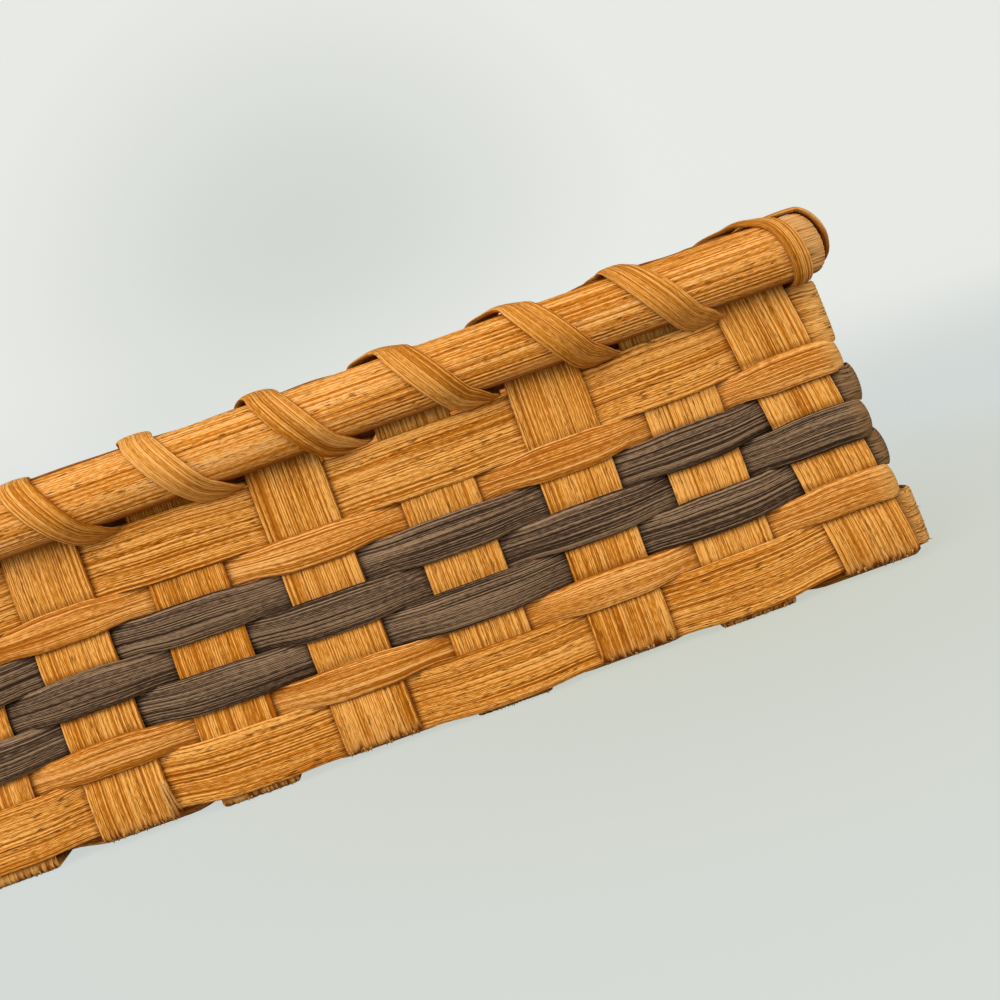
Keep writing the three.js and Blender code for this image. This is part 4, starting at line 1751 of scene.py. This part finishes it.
    def floor(self) -> None:
        """Lay the floor, which takes a faint shadow and sweeps up into the backdrop behind the basket."""
        half, back, bend = self.floor_half * MM, self.sweep_start * MM, self.sweep_bend * MM
        turns = np.linspace(0, math.pi / 2, 17)
        line = [(-half, 0.0), *((back + bend * math.sin(a), bend * (1 - math.cos(a))) for a in turns)]
        line.append((back + bend, 2 * half))
        mesh = bpy.data.meshes.new("floor")
        points = [(side * half, y, z) for y, z in line for side in (-1, 1)]
        faces = [(2 * i, 2 * i + 1, 2 * i + 3, 2 * i + 2) for i in range(len(line) - 1)]
        mesh.from_pydata(points, [], faces)
        mesh.polygons.foreach_set("use_smooth", np.ones(len(faces), bool))
        floor = bpy.data.objects.new("floor", mesh)
        bpy.context.scene.collection.objects.link(floor)
        material = bpy.data.materials.new("pale floor")
        material.use_nodes = True
        graph = Graph(material.node_tree)
        is_camera = graph.node("ShaderNodeLightPath").outputs["Is Camera Ray"]
        pale = graph.mixed(is_camera, self.bounce_colour, self.floor_colour)
        lit = graph.node("ShaderNodeBsdfDiffuse", {"Color": pale}).outputs[0]
        colour = self.seen(graph, graph.node("ShaderNodeTexCoord").outputs["Object"])
        seen = graph.node("ShaderNodeEmission", {"Color": colour, "Strength": 1.0}).outputs[0]
        share = graph.math("MULTIPLY", is_camera, self.floor_glow)
        mixed = graph.node("ShaderNodeMixShader", {0: share, 1: lit, 2: seen}).outputs[0]
        graph.node("ShaderNodeOutputMaterial", {"Surface": mixed})
        mesh.materials.append(material)

    def build(self) -> None:
        """Set up the floor, the light and the view."""
        self.floor()
        self.world()
        for lamp in self.lamps:
            lamp.hang()
        self.camera()
        bpy.context.scene.view_settings.view_transform = "Standard"


@dataclass(frozen=True)
class RowKind:
    """What the rows of one kind share.

    Attributes:
        thickness: Their thickness.
        section: Their cross section.
        relief: The grooves in their faces.
        slot: Material slot of the record.
        reed: What they are finished in.
    """

    thickness: float
    section: Section
    relief: Relief
    slot: str
    reed: Reed


@dataclass
class Basket:
    """The whole basket, piece by piece.

    Attributes:
        wall: The walls.
        rows: The woven rows.
        stake_lightness: How light each of the front stakes is.
        split_place: The place of the front stake that has split at its foot.
        row_lightness: How light each of the rows is, with the rim row first.
        first_end: The stake's end behind which the bottom row begins.
        row_shift: How many stakes farther on the row above begins.
        corner_flare: How far the bottom row stands out at the corners.
        corner_frays: How many broken fibres it has there.
        rim_row_wave: How far the rim row's edges wave.
        outer_bulge: How far the outer rim's face stands off its back.
        inner_bulge: The same for the inner rim.
        inner_drop: How much lower than in the frame the inner rim reaches.
        first_gap: The gap where the first lashing strip begins.
        pieces: The pieces with their finishes.
    """

    WIDE: ClassVar[RowKind] = RowKind(
        1.2, Section(57, 13, 0.12, 0.0, 14.0), Relief(0.18, 70.0, 0.95, 0.3), "wide_weaver", Reed.WIDE
    )
    NARROW: ClassVar[RowKind] = RowKind(
        1.5, Section(41, 11, 0.6, 0.1, 8.0), Relief(0.1, 60.0, 0.8, 0.4), "narrow_weaver", Reed.NARROW
    )
    GREY: ClassVar[RowKind] = RowKind(
        2.2, Section(53, 11, 0.68, 0.15, 7.0), Relief(0.09, 80.0, 0.65, 0.4), "grey_weaver", Reed.GREY
    )
    KINDS: ClassVar[tuple[RowKind, ...]] = (WIDE, WIDE, NARROW, GREY, GREY, GREY, NARROW, WIDE)

    wall: Wall = field(default_factory=Wall)
    rows: Rows = field(default_factory=Rows)
    stake_lightness: tuple[float, ...] = (0.0, -0.1, 0.3, -1.2, 0.1, 0.8, -0.6, 1.2, 0.6)
    split_place: int = 3
    row_lightness: tuple[float, ...] = (-0.2, 0.5, -0.7, 0.2, -0.3, -0.1, -0.6, -0.1)
    first_end: int = 4
    row_shift: int = 5
    corner_flare: float = 1.9
    corner_frays: int = 14
    rim_row_wave: float = 0.5
    outer_bulge: float = 5.4
    inner_bulge: float = 4.4
    inner_drop: float = 1.2
    first_gap: int = 2
    pieces: list[tuple[Piece, Finish]] = field(default_factory=list)

    def add(self, piece: Piece, reed: Reed) -> None:
        """Put a piece on the list."""
        self.pieces.append((piece, reed.value))

    @staticmethod
    def splits() -> tuple[Sliver, ...]:
        """Give the fibres that have split off the right edge of a stake's foot."""
        slivers = []
        # Where each begins and ends, from the stake's middle, and its width.
        feet = ((6.4, 7.4, 0.9), (7.0, 8.4, 0.8), (7.6, 9.3, 0.7), (7.9, 8.8, 0.5))
        for i, (top, foot, width) in enumerate(feet):
            root, tip = np.array([top, 0.5, 11.0 - 0.6 * i]), np.array([foot, 0.9 + 0.1 * i, 2.0 + 0.4 * i])
            slivers.append(Sliver(root, tip, width, bow=0.4))
        return tuple(slivers)

    def stakes(self) -> None:
        """List the stakes."""
        for place in range(1, self.wall.stakes_per_side + 1):
            for is_front_back in (True, False):
                node = f"stake_{'front_back' if is_front_back else 'left_right'}_{place}"
                number, lightness = len(self.pieces), self.stake_lightness[place - 1]
                stake = Stake(
                    node, "stake", number, self.wall, self.rows, is_front_back, place, lightness=lightness
                )
                if is_front_back and place == self.split_place:
                    stake.splits = self.splits()
                self.add(stake, Reed.STAKE)

    def weavers(self) -> None:
        """List the rows."""
        bottom = len(self.KINDS) - 1
        for row, (node, kind) in enumerate(zip(self.rows.nodes, self.KINDS)):
            first = self.first_end + self.row_shift * (bottom - row)
            weaver = Weaver(
                node, kind.slot, len(self.pieces), self.wall, self.rows, row, first,
                kind.thickness, kind.section, kind.relief, lightness=self.row_lightness[row],
            )
            if row == bottom:
                weaver.flare, weaver.fray_count = self.corner_flare, self.corner_frays
            if row == 0:
                weaver.wave = self.rim_row_wave
            self.add(weaver, kind.reed)

    def rim(self) -> None:
        """List the rims and the lashing that binds them."""
        outer = Rim("outer_rim", "rim", len(self.pieces), self.wall, 1, self.outer_bulge)
        self.add(outer, Reed.RIM)
        inner = Rim("inner_rim", "rim", len(self.pieces), self.wall, -1, self.inner_bulge, drop=self.inner_drop)
        self.add(inner, Reed.RIM)
        for strip in (0, 1):
            node, first = f"lashing_{strip + 1}", self.first_gap + Lashing.wraps * strip
            lashing = Lashing(node, "lashing", len(self.pieces), self.wall, outer, inner, first)
            self.add(lashing, Reed.LASHING)

    def build(self) -> None:
        """Make and dress every piece."""
        self.stakes()
        self.weavers()
        self.rim()
        for piece, finish in self.pieces:
            piece.dress(piece.build(), finish)


def main() -> None:
    """Build the basket and the studio."""
    logging.basicConfig(level=logging.INFO, format="%(name)s: %(message)s")
    Basket().build()
    Studio().build()


if __name__ == "__main__":
    main()
